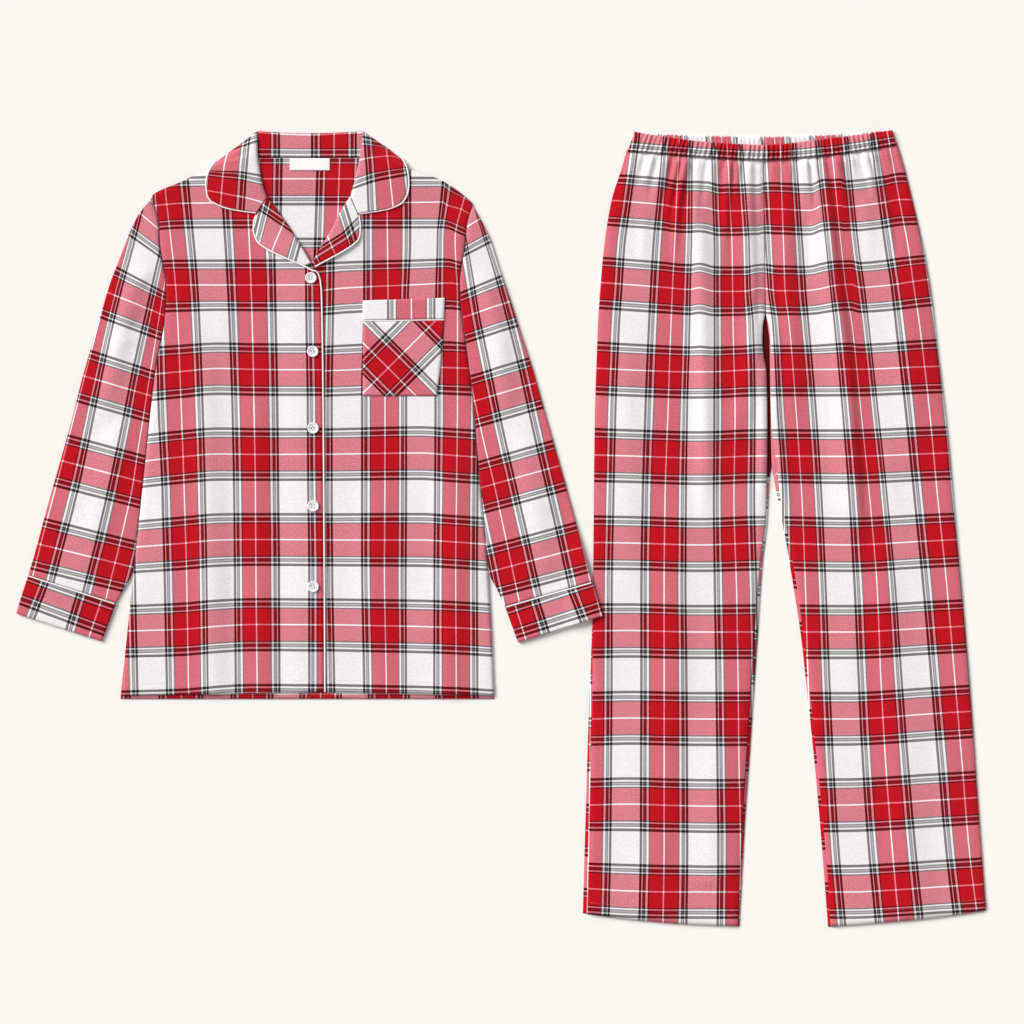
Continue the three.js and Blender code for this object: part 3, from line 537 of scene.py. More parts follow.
TROUSER_CREASES = table(
    "x1 y1 x2 y2 height width",
    (182, 430, 176, 300, 0.8, 8),
    (216, 440, 220, 330, -0.9, 7),
    (276, 440, 280, 300, -0.9, 8),
    (196, 240, 206, 60, 0.5, 14),
    (300, 190, 286, 60, 0.7, 10),
    (322, 210, 300, 140, -0.8, 7),
    (230, -60, 222, -260, 0.6, 15),
    (140, 120, 136, -60, 0.5, 12),
    (268, -120, 262, -330, -0.5, 15),
    (160, -240, 166, -430, 0.5, 14),
    (216, -330, 208, -470, -0.5, 13),
    (378, 440, 384, 300, -0.9, 8),
    (452, 450, 462, 330, 0.8, 8),
    (480, 440, 492, 330, -0.7, 8),
    (317, 296, 329, 240, -1.5, 4),
    (347, 298, 334, 240, -1.3, 4),
    (352, 200, 378, 90, 0.7, 9),
    (400, 150, 410, 20, -0.6, 11),
    (478, 180, 492, -30, 0.6, 14),
    (530, 130, 540, -70, -0.5, 13),
    (430, -60, 446, -280, 0.6, 15),
    (510, -120, 526, -330, 0.5, 15),
    (474, -260, 486, -450, -0.5, 14),
    (560, -240, 570, -420, 0.5, 12),
)


def ridges(folds, swell):
    """How far folds lift the upper layer at a place: the highest ridge, fading at the ends of its line."""
    ready = []
    for fold in folds:
        line = fold["line"]
        ready.append((smooth_line([(y, x) for x, y in line]), line[0][1], line[-1][1], fold))

    def lift_at(x, y):
        highest = 0
        for centre, top, foot, fold in ready:
            if y > top or y < foot - 5:
                continue
            off = x - centre(y)
            flank = off / (fold["right"] if off > 0 else fold["left"])
            if abs(flank) > RISE_WIDTHS:
                continue
            fade = 0.25 * (top - foot)
            runs_out = 1 if foot < -200 else ease((y - foot) / fade)
            ends = ease((top - y) / fade) * runs_out
            highest = max(highest, fold["lift"] * math.exp(-flank * flank) * ends)
        return swell * min(highest, MOST_LOFT)

    return lift_at


def creased(creases):
    """The height that creases add at a place, each tapering to nothing at its two ends."""
    ready = []
    for c in creases:
        run = Vector((c["x2"] - c["x1"], c["y2"] - c["y1"]))
        ready.append((c["x1"], c["y1"], run.normalized(), run.length, c["height"], c["width"]))

    def height_at(x, y):
        total = 0
        for x1, y1, way, length, height, width in ready:
            dx, dy = x - x1, y - y1
            far = dx * way.x + dy * way.y
            if far <= 0 or far >= length:
                continue
            side = (dx * way.y - dy * way.x) / width
            if abs(side) < RISE_WIDTHS:
                total += height * math.exp(-side * side) * math.sin(math.pi * far / length) ** 1.3
        return CREASE_DEPTH * total

    return height_at


shirt_ridge = ridges(SHIRT_FOLDS, 1.35)
sleeve_ridge = ridges(SLEEVE_FOLDS, 1.3)
trouser_ridge = ridges(TROUSER_FOLDS, 1.6)
shirt_crease = creased(SHIRT_CREASES)
sleeve_crease = creased(SLEEVE_CREASES)
trouser_crease = creased(TROUSER_CREASES)


RIPPLES = (
    {"x": 58, "y": 66, "height": 0.42, "seed": 0},
    {"x": 19, "y": 23, "height": 0.13, "seed": 9.5},
)


def ripple(x, y, seed):
    """The small unevenness of brushed cotton that has been lived in."""
    return sum(
        r["height"] * noise.noise(Vector((x / r["x"], y / r["y"], seed + r["seed"]))) for r in RIPPLES
    )


# Heights of the shirt's layers above the surface. Each rises where another layer starts beneath it.
FALL_RISE = {"from": 400, "over": 35}
OVERLAP_RISE = {"from": 357, "over": 22}
LAPEL_RISE = {"from": 372, "over": 25}
LEAF_RISE = 10
LEAF_DROOP = {"drop": 2.2, "over": 18}
FLAP_GAP = 0.2


def body_rise(y):
    return LAYER * ease((y - FALL_RISE["from"]) / FALL_RISE["over"])


def overlap_rise(y, from_edge):
    reach = clamp((PLACKET_OVERLAP + PLACKET_STEP - from_edge) / PLACKET_STEP, 0, 1)
    return LAYER * ease(reach) * ease((OVERLAP_RISE["from"] - y) / OVERLAP_RISE["over"])


def lapel_rise(y):
    return LAYER * ease((LAPEL_RISE["from"] - y) / LAPEL_RISE["over"])


def leaf_under(y, from_crease):
    return between(LAYER + FLAP_GAP, body_rise(y) + 2 * LAYER + 0.3, ease(from_crease / LEAF_RISE))


def leaf_droop(x, y):
    """Past the shoulder line a leaf has no shirt under it, and hangs lower."""
    past = max(body_left(y) - x, x - body_right(y))
    return LEAF_DROOP["drop"] * ease(past / LEAF_DROOP["over"])


def lapel_under(y):
    return body_rise(y) + 2 * LAYER + FLAP_GAP + lapel_rise(y)


def cuff_rise(x):
    spot = CUFF_OVER_TROUSERS
    return spot["lift"] * ease((x - spot["from"]) / (spot["to"] - spot["from"]))


# Where folds stay clear of what is sewn on: the pocket, the edge with the buttons, and the collar
NO_FOLDS = {"left": -190, "right": -66, "bottom": 130, "placket": -240, "placket_half": 35, "collar": 300}


def sewn_flat(x, y):
    clear = NO_FOLDS
    from_pocket = max(clear["left"] - x, x - clear["right"], clear["bottom"] - y)
    from_placket = abs(x - clear["placket"]) - clear["placket_half"]
    return ease(from_pocket / 14) * ease(from_placket / 12) * ease((clear["collar"] - y) / 25)


SEAM_TURN = {"drop": 1.1, "width": 6}


def side_drop(from_side):
    """A sewn edge turns down to the layer beneath it."""
    if from_side >= SEAM_TURN["width"]:
        return 0
    return SEAM_TURN["drop"] * (1 - ease(from_side / SEAM_TURN["width"]))


def upright(edge, x, y):
    """How far a place is from a side edge, square to it."""
    lean = (edge(y + 2) - edge(y - 2)) / 4
    return abs(x - edge(y)) / math.sqrt(1 + lean * lean)


HEM = {"swell": 0.4, "step": 1.5, "groove": 0.3, "groove_width": 1.2, "drop": 0.5, "edge": 2.5, "reach": 4}


def hem_swell(from_hem):
    """The turned-up hem is a second layer, pressed in along its stitching."""
    past = from_hem - HEM_DEPTH
    if past > HEM["reach"]:
        return 0
    groove = HEM["groove"] * math.exp(-((past / HEM["groove_width"]) ** 2))
    return fading(HEM["swell"], past, HEM["step"]) - groove - fading(HEM["drop"], from_hem, HEM["edge"])


# The check, as lines that each hold one mark: a whole number is the middle of a red stripe, a half that of
# a white one. Places in these tables are where those lines run on the cloth as it lies.
def mark_lines(turn, repeat, lines):
    """The mark at a place, from lines that stand upright once the cloth is turned by some degrees."""
    c, s = math.cos(math.radians(turn)), math.sin(math.radians(turn))
    runs = []
    for mark, points in lines:
        turned = [(y * c - x * s, x * c + y * s) for x, y in points]
        runs.append((sum(p[1] for p in turned) / len(turned), mark, smooth_line(turned)))
    runs.sort(key=lambda run: run[0])
    marks = [run[1] for run in runs]

    def mark_at(x, y):
        down, across = y * c - x * s, x * c + y * s
        places = [run[2](down) for run in runs]
        i = bisect_right(places, across)
        if i == 0:
            return marks[0] + (across - places[0]) / repeat
        if i == len(places):
            return marks[-1] + (across - places[-1]) / repeat
        return between(marks[i - 1], marks[i], (across - places[i - 1]) / (places[i] - places[i - 1]))

    return mark_at


def warp_lines(lines, turn=0):
    return mark_lines(turn, ACROSS_REPEAT, lines)


def weft_lines(lines, turn=90):
    return mark_lines(turn, -ALONG_REPEAT, lines)


def upright_lines(heights, marks):
    return [(mark, list(zip(places, heights))) for mark, places in marks.items()]


def level_lines(places, marks):
    return [(mark, list(zip(places, heights))) for mark, heights in marks.items()]


def check(warps, wefts):
    return lambda x, y: (warps(x, y), wefts(x, y))


RIGHT_FRONT_CHECK = check(
    warp_lines(upright_lines(
        (423, 286, 161, 54, -52, -158),
        {
            0.5: (-450, -448.8, -447.5, -441.9, -439.4, -436.9),
            1: (-420, -405.6, -400, -396.2, -393.1, -391.2),
            1.5: (-370, -360, -354.4, -351.9, -350.6, -350),
            2: (-317.5, -311.9, -308.8, -306.9, -306.2, -305),
            2.5: (-262.5, -261.9, -260, -259.4, -258.1, -258.1),
        },
    )),
    weft_lines([
        (1, [(-431, 403.8), (-401, 406.4), (-351, 406.9), (-251, 406.9)]),
        (2, [(-420, 304.4), (-351, 304.4), (-251, 304.4)]),
        (3, [(-432, 193.1), (-401, 196), (-351, 200), (-307, 198.8), (-195, 198.1)]),
        (4, [(-444, 84.4), (-401, 89.4), (-351, 93.1), (-307, 92.5), (-195, 93.1)]),
        (5, [(-455, -23.1), (-401, -18.8), (-351, -14.4), (-307, -13.8), (-195, -14.4)]),
        (6, [(-467, -128.1), (-401, -126.2), (-351, -121.9), (-307, -120), (-195, -120.6)]),
    ]),
)
LEFT_FRONT_CHECK = check(
    warp_lines(upright_lines(
        (417, 361, 286, 161, 54, -52, -158),
        {
            0.5: (-190, -190.6, -191.2, -193.1, -193.1, -192.5, -190.6),
            1: (-142.5, -142, -141.2, -145, -145, -145.6, -143.8),
            1.5: (-93.8, -94.2, -99.4, -100.6, -100.6, -101.2, -101.9),
            2: (-45.1, -57.5, -54.4, -54.4, -55.4, -56.6, -56),
            2.5: (0, -11.2, -11.2, -11.9, -11.9, -11.9, -11.9),
        },
    )),
    weft_lines([
        (0.76, [(-122, 431.8), (-73, 431.8), (-63, 424.5), (-44.5, 414.5)]),
        (1, [(-195, 406.9), (-122, 407.4), (-73, 408.1), (-68, 404.4), (-50, 399.4), (-42.4, 395.1)]),
        (1.24, [(-195, 382.2), (-73.8, 382.2), (-66.2, 381.2), (-55.9, 376.5)]),
        (2, [(-211, 299), (-195, 300.6), (-101, 305), (-63, 306.9), (-53, 305.5)]),
        (3, [(-195, 198.1), (-101, 201.9), (-51, 200.6)]),
        (4, [(-195, 93.1), (-101, 94.4), (-64, 91.6), (-29, 89.1)]),
        (5, [(-195, -14.4), (-101, -14.4), (-64, -16.4), (-21, -19.6)]),
        (6, [(-195, -120.6), (-101, -122.5), (-64, -123.6), (-11, -126.9)]),
    ]),
)
BACK_CHECK = check(
    warp_lines(upright_lines((440, -209), {
        -1: (-397, -400),
        0: (-302, -310.5),
        0.25: (-280, -290),
        0.75: (-224.4, -246.9),
        1: (-202.5, -225.6),
        2: (-107, -140),
        3: (-12, -56.2),
    })),
    weft_lines([(0.76, [(-251, 460)]), (1, [(-251, 437.2)]), (2, [(-251, 330.6)])]),
)
STAND_CHECK = check(
    warp_lines([
        (0.25, [(-282.5, 473)]), (0.75, [(-231.2, 473)]), (1, [(-208.7, 473)]), (1.25, [(-185.9, 473)]),
    ]),
    weft_lines([
        (0, [(-302, 495.2), (-270, 492.8), (-237, 491.9), (-207, 493.2), (-176, 495)]),
        (0.24, [(-302, 471.2), (-251, 470.6), (-189, 470.6)]),
    ]),
)
RIGHT_LEAF_CHECK = check(
    warp_lines([
        (0, [(-343.2, 465.9), (-346.6, 445.6), (-350, 406.4)]),
        (0.24, [(-320.5, 476.8), (-323.6, 440.1), (-326, 406.4)]),
    ]),
    weft_lines([
        (0.24, [(-321.2, 483.8), (-306.2, 489.4)]),
        (0.76, [(-363.5, 444), (-347.2, 442.2), (-324.2, 440.1), (-309.4, 436.9)]),
        (1, [(-364.9, 421.9), (-350, 419.1), (-329.6, 415.1), (-321.5, 413.8), (-298.5, 407.6)]),
    ], 97),
)
LEFT_LEAF_CHECK = check(
    warp_lines([
        (0.76, [(-165, 481.9), (-161.7, 438.9), (-160.2, 400.4)]),
        (1, [(-143.5, 474.8), (-139.5, 445.6), (-135, 404.9)]),
    ]),
    weft_lines([
        (0.76, [(-170, 482.5), (-161.2, 481.2), (-132.5, 475.6)]),
        (1, [(-176.2, 460.4), (-160.6, 463.2), (-139.1, 465.6), (-129.5, 464)]),
        (1.24, [(-178.8, 433.1), (-158.3, 439.9), (-121.2, 447.2)]),
    ]),
)
RIGHT_LAPEL_CHECK = check(
    warp_lines([(0.24, [(-294.5, 399.5), (-277.5, 388)])], 236),
    weft_lines([
        (0.76, [(-295.8, 392.8), (-302.6, 364.4)]),
        (1, [(-272.1, 380.6), (-285.6, 348)]),
        (1.24, [(-256.5, 357.5), (-261.9, 337.9)]),
    ], 159),
)
LEFT_LAPEL_CHECK = check(
    warp_lines([(0.24, [(-225.4, 345.4), (-195, 364.4), (-187.2, 372.1)])], 124),
    weft_lines([
        (1, [(-216.5, 364.4), (-207.8, 344.6)]),
        (0.76, [(-198.6, 396.6), (-190.1, 369.4)]),
    ], 22),
)
POCKET_BAND_CHECK = check(
    warp_lines([
        (0.5, [(-160, 273)]),
        (0.76, [(-135.6, 273)]),
        (1, [(-111.9, 273)]),
        (1.24, [(-88.5, 273)]),
    ]),
    weft_lines([(0.5, [(-139, 274.4)])]),
)
POCKET_CHECK = check(
    warp_lines([(0, [(-141, 200.5)])], 45),
    weft_lines([(0, [(-141, 200.5)])], 135),
)
RIGHT_SLEEVE_CHECK = check(
    warp_lines([
        (0, [(-562, 31.4), (-575, -18.1), (-582.5, -48.1)]),
        (0.24, [(-460, 371.5), (-487, 268), (-510, 162.6), (-533, 54), (-559, -45)]),
        (0.76, [(-432, 298), (-454.5, 198), (-475, 93.8), (-498.6, -10.6), (-511.5, -60)]),
        (1, [(-453.4, 100.6), (-463, 40), (-477, -21.4), (-492, -80.5)]),
    ], -13.4),
    weft_lines([
        (1, [(-450.6, 393.5), (-426.9, 373.4)]),
        (2, [(-492.8, 295.4), (-420.8, 266.4)]),
        (3, [(-523.1, 191.2), (-436.6, 165.6)]),
        (4, [(-550, 84.8), (-448.8, 58.3)]),
        (5, [(-581.2, -18.6), (-458.8, -48.6)]),
    ], 76.6),
)
LEFT_SLEEVE_CHECK = check(
    warp_lines([
        (0.76, [(-20.8, 371), (-1.2, 310.8), (26.6, 207.4), (50.4, 102), (75, -3), (85.4, -49.7)]),
        (0.24, [(-43.3, 341), (-28.3, 246), (-6.7, 140.6), (17, 36.4), (40.3, -63.8)]),
        (0, [(-28.3, 138.5), (-19.6, 99.8), (-8.9, 56.9), (7.3, -18.5), (22.4, -89.4)]),
    ], 11.7),
    weft_lines([
        (1, [(-42, 377.5), (-25.5, 387.6)]),
        (2, [(-47.5, 263.9), (12.1, 284)]),
        (3, [(-34.5, 158.9), (44.7, 182.2)]),
        (4, [(-25, 51), (73, 78.4)]),
        (5, [(-13.8, -54), (102, -23.3)]),
    ], 101.7),
)
# A cuff shows two groups of stripes with red between them, and white along its edge.
RIGHT_CUFF_CHECK = check(
    warp_lines([
        (0.24, [(-571.8, -67.6), (-582.5, -94.5)]),
        (0.76, [(-524.4, -83.8), (-533, -112.9)]),
        (1, [(-499.6, -91.2), (-514.8, -135.4)]),
    ], -18),
    weft_lines([
        (0.24, [(-571.8, -67.6), (-524.4, -83.8)]),
        (0.12, [(-577.2, -81), (-528.7, -98.4)]),
        (0.2401, [(-582.5, -94.5), (-533, -112.9)]),
    ], 72),
)
LEFT_CUFF_CHECK = check(
    warp_lines([
        (0, [(17, -93.9), (31, -139)]),
        (0.24, [(41.7, -91.2), (50.4, -119.7)]),
        (0.76, [(89.7, -75.6), (100.9, -103.5)]),
        (1, [(112.8, -61.6), (123.1, -101.4)]),
    ], 16),
    weft_lines([
        (0.24, [(41.7, -91.2), (89.7, -75.6)]),
        (0.12, [(46, -105.4), (95.3, -89.6)]),
        (0.2401, [(50.4, -119.7), (100.9, -103.5)]),
    ], 106),
)
TROUSER_HEIGHTS = (404, 354, 299, 254, 146, 36, -74, -183, -292, -399, -482)
RIGHT_LEG_WARPS = warp_lines(upright_lines(TROUSER_HEIGHTS, {
    0: (135, 127.5, 123.8, 120, 116.2, 114.4, 112.5, 111.9, 111.2, 109.4, 107.5),
    0.5: (178.8, 172.5, 168.8, 166.2, 161.2, 158.1, 156.2, 156.2, 155.6, 155, 153.1),
    1: (219.1, 217, 214.4, 212.5, 208.8, 205, 203.8, 203.8, 203.8, 203.8, 202.5),
    1.5: (251.2, 251.9, 251.2, 251.2, 248.8, 248.8, 248.8, 250.6, 251.9, 252.5, 251.9),
    2: (286.2, 288.8, 289.6, 290, 292.5, 291.2, 294.4, 296.2, 297.5, 299.4, 298.8),
    2.5: (320, 323.8, 325.6, 331.2, 333.8, 333.8, 336.2, 338.8, 341.2, 343.8, 343.8),
}))
LEFT_LEG_WARPS = warp_lines(upright_lines(TROUSER_HEIGHTS, {
    0.5: (312.5, 316.5, 320.9, 326, 330, 336.2, 335, 337.5, 342.5, 348.8, 355),
    1: (351.2, 352.8, 354.6, 360, 368.8, 376.2, 380.6, 383.8, 388.8, 395, 401.2),
    1.5: (388.1, 393.1, 398.1, 401.2, 410.6, 417.5, 423.1, 428.1, 433.1, 440, 448.1),
    2: (420, 425, 431.2, 438.8, 450, 461.2, 470, 474.4, 480.6, 488.8, 496.2),
    2.5: (455.9, 461.2, 470, 473.8, 485.6, 497.5, 508.1, 517.5, 526.9, 536.9, 546.2),
    3: (499.2, 508.5, 516.2, 523.1, 535.6, 546.2, 557.5, 566.9, 576.2, 585, 595),
}))
TROUSER_WEFTS = weft_lines([
    (1, [
        (141, 410), (204, 404.4), (219, 401.4), (255, 400.6), (274, 396.9), (321, 396.9), (330, 399.4),
        (387, 397.5), (402, 403.1), (424, 403.4), (429, 401.9), (476, 406.9), (500, 411.2), (514, 411.2),
    ]),
    (2, [
        (127, 307.4), (204, 301.4), (237, 298.8), (247, 300.6), (266, 296.4), (305, 296.4), (324, 300.6),
        (349, 296.9), (374, 296.9), (390, 298.1), (419, 303.5), (437, 305.2), (449, 301.4), (480, 303.5),
        (521, 309.5),
    ]),
    *level_lines((117, 161, 249, 324, 436, 524), {
        3: (200.6, 198.1, 195.6, 198.6, 198.8, 201.9),
        4: (91.9, 90.6, 88.1, 90.6, 90, 93.1),
        5: (-17.5, -18.1, -20.6, -18.1, -20.6, -16.2),
        6: (-128.1, -127.5, -129.4, -129.4, -129.4, -125),
        7: (-238.1, -236.9, -238.1, -238.1, -238.1, -232.5),
        8: (-345.6, -344.4, -346.9, -346.9, -345.6, -340.6),
        9: (-450.6, -453.1, -454.4, -454.4, -454.4, -449.4),
    }),
])
RIGHT_LEG_CHECK = check(RIGHT_LEG_WARPS, TROUSER_WEFTS)
LEFT_LEG_CHECK = check(LEFT_LEG_WARPS, TROUSER_WEFTS)
# The legs' backs are cut with their rows a little lower than the fronts'. Just below the crotch each shows
# one plain colour, as its marks there don't change: on the right leg a dark maroon, black across red, which
# is painted shade in the gap between the legs, and pink on the left.
def leg_back_check(warps, row_shift, inwards, past, above, plain_or_shade_marks):
    def marks_at(x, y):
        if inwards * (x - past) > 0 and y > above:
            return plain_or_shade_marks
        return warps(x, y), TROUSER_WEFTS(x, y + row_shift)

    return marks_at


# The right back's dark maroon, black across red, by the crotch gap is painted shade.
RIGHT_BACK_CHECK = leg_back_check(
    RIGHT_LEG_WARPS, row_shift=32, inwards=1, past=323, above=62, plain_or_shade_marks=(2.7, 3.1)
)
LEFT_BACK_CHECK = leg_back_check(
    LEFT_LEG_WARPS, row_shift=22, inwards=-1, past=343, above=66, plain_or_shade_marks=(0.5, 3.9)
)


# Finishes
def finish_of(name, settings):
    """A new material, with some of its shader's inputs set to uniform values."""
    material = bpy.data.materials.new(name)
    material.use_nodes = True
    tree = material.node_tree
    shader = tree.nodes["Principled BSDF"]
    for socket, value in settings.items():
        shader.inputs[socket].default_value = value
    return material, tree, shader


def node(tree, kind, inputs=None, **settings):
    made = tree.nodes.new(kind)
    for key, value in settings.items():
        setattr(made, key, value)
    for key, value in (inputs or {}).items():
        if isinstance(value, bpy.types.NodeSocket):
            tree.links.new(value, made.inputs[key])
        else:
            made.inputs[key].default_value = value
    return made


def reckon(tree, operation, *values):
    return node(tree, "ShaderNodeMath", dict(enumerate(values)), operation=operation).outputs[0]


def noise_share(tree, place, scale, detail=2.0, roughness=0.5):
    values = {"Vector": place, "Scale": scale, "Detail": detail, "Roughness": roughness}
    return node(tree, "ShaderNodeTexNoise", values).outputs["Fac"]


def wave_share(tree, place, scale, distortion, detail, direction="DIAGONAL"):
    values = {"Vector": place, "Scale": scale, "Distortion": distortion, "Detail": detail}
    return node(tree, "ShaderNodeTexWave", values, bands_direction=direction).outputs["Fac"]


def swing(tree, share, amount, middle):
    """A value that swings about a middle as a share goes from 0 to 1."""
    return reckon(tree, "MULTIPLY_ADD", reckon(tree, "SUBTRACT", share, 0.5), amount, middle)


def bump(tree, shader, height, strength, distance):
    made = node(tree, "ShaderNodeBump", {"Height": height, "Strength": strength, "Distance": distance})
    tree.links.new(made.outputs[0], shader.inputs["Normal"])


def mottle(tree, shader, share, low, high):
    """A colour that runs from one tone to another with a share."""
    ramp = node(tree, "ShaderNodeValToRGB", {"Fac": share})
    for stop, tone in zip(ramp.color_ramp.elements, (low, high)):
        stop.color = (*tone, 1)
    tree.links.new(ramp.outputs["Color"], shader.inputs["Base Color"])


def object_place(tree):
    return node(tree, "ShaderNodeTexCoord").outputs["Object"]


# Yarn colours as they look on a screen. They mix a little darker than on one, as yarns do.
SCREEN_GAMMA = 2.2
MIXING_GAMMA = 2.6
# A dark yarn shades the one that it crosses. Its own colour shows where two dark ones cross.
SHADE = {"black": 0.565, "grey": 0.66, "pale": 0.80}
DARK_YARN = 0.9  # a yarn that shades to less than this counts as a dark one
YARN = {
    "red": (0.712, 0.04, 0.115),
    "white": (0.915, 0.903, 0.910),
    "thread": (0.99, 0.98, 0.98),
    "black": (0.16, 0.13, 0.14),
    "grey": (0.42, 0.39, 0.40),
    "pale": (0.70, 0.67, 0.68),
}
# From the middle of a red stripe outwards, in shares of a repeat
ACROSS_STRIPES = table(
    "yarn start",
    ("thread", 0),
    ("red", 0.0075),
    ("black", 0.1805),
    ("white", 0.1985),
    ("grey", 0.2255),
    ("pale", 0.2395),
    ("grey", 0.2525),
    ("white", 0.2665),
    ("black", 0.281),
    ("white", 0.3125),
)
ALONG_STRIPES = table(
    "yarn start",
    ("thread", 0),
    ("red", 0.006),
    ("black", 0.185),
    ("white", 0.2015),
    ("grey", 0.2155),
    ("pale", 0.2305),
    ("grey", 0.245),
    ("white", 0.260),
    ("black", 0.2785),
    ("white", 0.3125),
)


def stripes(tree, mark, rows):
    """The yarn's colour and shade at a mark, the same on both sides of each red stripe's middle."""
    part = reckon(tree, "FRACT", reckon(tree, "ADD", mark, 0.5))
    from_red = reckon(tree, "ABSOLUTE", reckon(tree, "SUBTRACT", part, 0.5))
    ramp = node(tree, "ShaderNodeValToRGB", {"Fac": from_red})
    ramp.color_ramp.interpolation = "CONSTANT"
    stops = ramp.color_ramp.elements
    while len(stops) < len(rows):
        stops.new(1)
    for stop, row in zip(stops, rows):
        stop.position = row["start"]
        colour = (c ** (SCREEN_GAMMA / MIXING_GAMMA) for c in YARN[row["yarn"]])
        stop.color = (*colour, SHADE.get(row["yarn"], 1))
    return ramp.outputs["Color"], ramp.outputs["Alpha"]


def checked_flannel():
    material, tree, shader = finish_of("checked_flannel", {
        "Roughness": 0.92,
        "Specular IOR Level": 0.1,
        "Sheen Weight": 0.08,
        "Sheen Roughness": 0.6,
        "Sheen Tint": (1, 0.93, 0.94, 1),
    })
    weave = node(tree, "ShaderNodeUVMap", uv_map="cloth").outputs[0]
    marks = node(tree, "ShaderNodeSeparateXYZ", {0: weave})
    warp, warp_shade = stripes(tree, marks.outputs[0], ACROSS_STRIPES)
    weft, weft_shade = stripes(tree, marks.outputs[1], ALONG_STRIPES)
    twill = wave_share(tree, weave, 62.0, 0.6, 1.0)
    speckle = noise_share(tree, weave, 85.0, 3.0, 0.7)
    slub = noise_share(tree, weave, 14.0, 4.0, 0.6)
    grain = noise_share(tree, weave, 46.0, 2.0, 0.6)
    share = swing(tree, speckle, 0.95, reckon(tree, "MULTIPLY_ADD", twill, 0.16, 0.38))
    dark_warp = reckon(tree, "LESS_THAN", warp_shade, DARK_YARN)
    dark_weft = reckon(tree, "LESS_THAN", weft_shade, DARK_YARN)
    raised = reckon(tree, "MULTIPLY_ADD", reckon(tree, "SUBTRACT", 1, share), dark_warp, share)
    weft_share = reckon(tree, "SUBTRACT", raised, reckon(tree, "MULTIPLY", share, dark_weft))
    woven = node(tree, "ShaderNodeMix", {"Factor": weft_share, "A": warp, "B": weft}, data_type="RGBA")
    nap = swing(tree, grain, 0.17, swing(tree, slub, 0.05, 1.0))
    shade = reckon(tree, "MULTIPLY", reckon(tree, "MULTIPLY", warp_shade, weft_shade), nap)
    yarns = woven.outputs["Result"]
    toned = node(tree, "ShaderNodeVectorMath", {0: yarns, "Scale": shade}, operation="SCALE")
    light = node(tree, "ShaderNodeGamma", {"Color": toned.outputs[0], "Gamma": MIXING_GAMMA})
    tree.links.new(light.outputs[0], shader.inputs["Base Color"])
    height = reckon(tree, "MULTIPLY_ADD", twill, 0.5, reckon(tree, "MULTIPLY", speckle, 0.8))
    bump(tree, shader, height, 0.5, 0.00022)
    return material


def piping_cotton():
    material, tree, shader = finish_of(
        "piping_cotton", {"Roughness": 0.75, "Specular IOR Level": 0.25, "Sheen Weight": 0.15}
    )
    place = object_place(tree)
    mottle(tree, shader, noise_share(tree, place, 130.0, 3.0), (0.90, 0.85, 0.86), (0.98, 0.95, 0.95))
    bump(tree, shader, wave_share(tree, place, 170.0, 1.2, 2.0), 0.35, 0.0002)
    return material


def pearl_button():
    material, tree, shader = finish_of("pearl_button", {"Coat Weight": 0.4, "Coat Roughness": 0.12})
    cloud = noise_share(tree, object_place(tree), 210.0, 4.0)
    mottle(tree, shader, cloud, (0.78, 0.74, 0.76), (0.94, 0.92, 0.93))
    rough = reckon(tree, "MULTIPLY_ADD", cloud, 0.2, 0.2)
    tree.links.new(rough, shader.inputs["Roughness"])
    bump(tree, shader, cloud, 0.08, 0.0002)
    return material


def label_satin():
    material, tree, shader = finish_of("label_satin", {"Roughness": 0.5, "Sheen Weight": 0.2})
    place = object_place(tree)
    mottle(tree, shader, noise_share(tree, place, 90.0), (0.86, 0.82, 0.83), (0.95, 0.93, 0.93))
    bump(tree, shader, wave_share(tree, place, 260.0, 0.2, 2.0, "Y"), 0.25, 0.0001)
    return material


def sewing_thread():
    material, tree, shader = finish_of("sewing_thread", {"Roughness": 0.6})
    twist = noise_share(tree, object_place(tree), 1500.0)
    mottle(tree, shader, twist, (0.56, 0.24, 0.28), (0.74, 0.42, 0.46))
    bump(tree, shader, twist, 0.3, 0.0001)
    return material


def pale_surface():
    material, tree, shader = finish_of("pale_surface", {"Roughness": 0.9, "Specular IOR Level": 0.1})
    uneven = noise_share(tree, object_place(tree), 4.0)
    mottle(tree, shader, uneven, (0.864, 0.860, 0.832), (0.874, 0.870, 0.842))
    return material


FLANNEL = checked_flannel()
PIPING = piping_cotton()
BUTTON_PEARL = pearl_button()
LABEL = label_satin()
THREAD = sewing_thread()
SURFACE = pale_surface()


# Making pieces
def add_object(name, data):
    made = bpy.data.objects.new(name, data)
    bpy.context.scene.collection.objects.link(made)
    return made


def dressed(mesh, material, smooth=True):
    mesh.materials.clear()
    mesh.materials.append(material)
    mesh.polygons.foreach_set("use_smooth", [smooth] * len(mesh.polygons))
    return mesh


def new_piece(name, bm, material, smooth=True):
    mesh = bpy.data.meshes.new(name)
    bm.to_mesh(mesh)
    bm.free()
    return add_object(name, dressed(mesh, material, smooth))


def final_mesh(drawn):
    """The mesh that an object comes to with its modifiers and bevel applied."""
    bpy.context.view_layer.update()
    return bpy.data.meshes.new_from_object(drawn.evaluated_get(bpy.context.evaluated_depsgraph_get()))


def take_place(piece, node_name):
    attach(piece, "root")
    if node_name:
        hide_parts(node_name)


def thicken(piece, wall):
    shell = piece.modifiers.new("wall", "SOLIDIFY")
    shell.thickness = wall * MM
    shell.offset = -1
    shell.use_rim = True


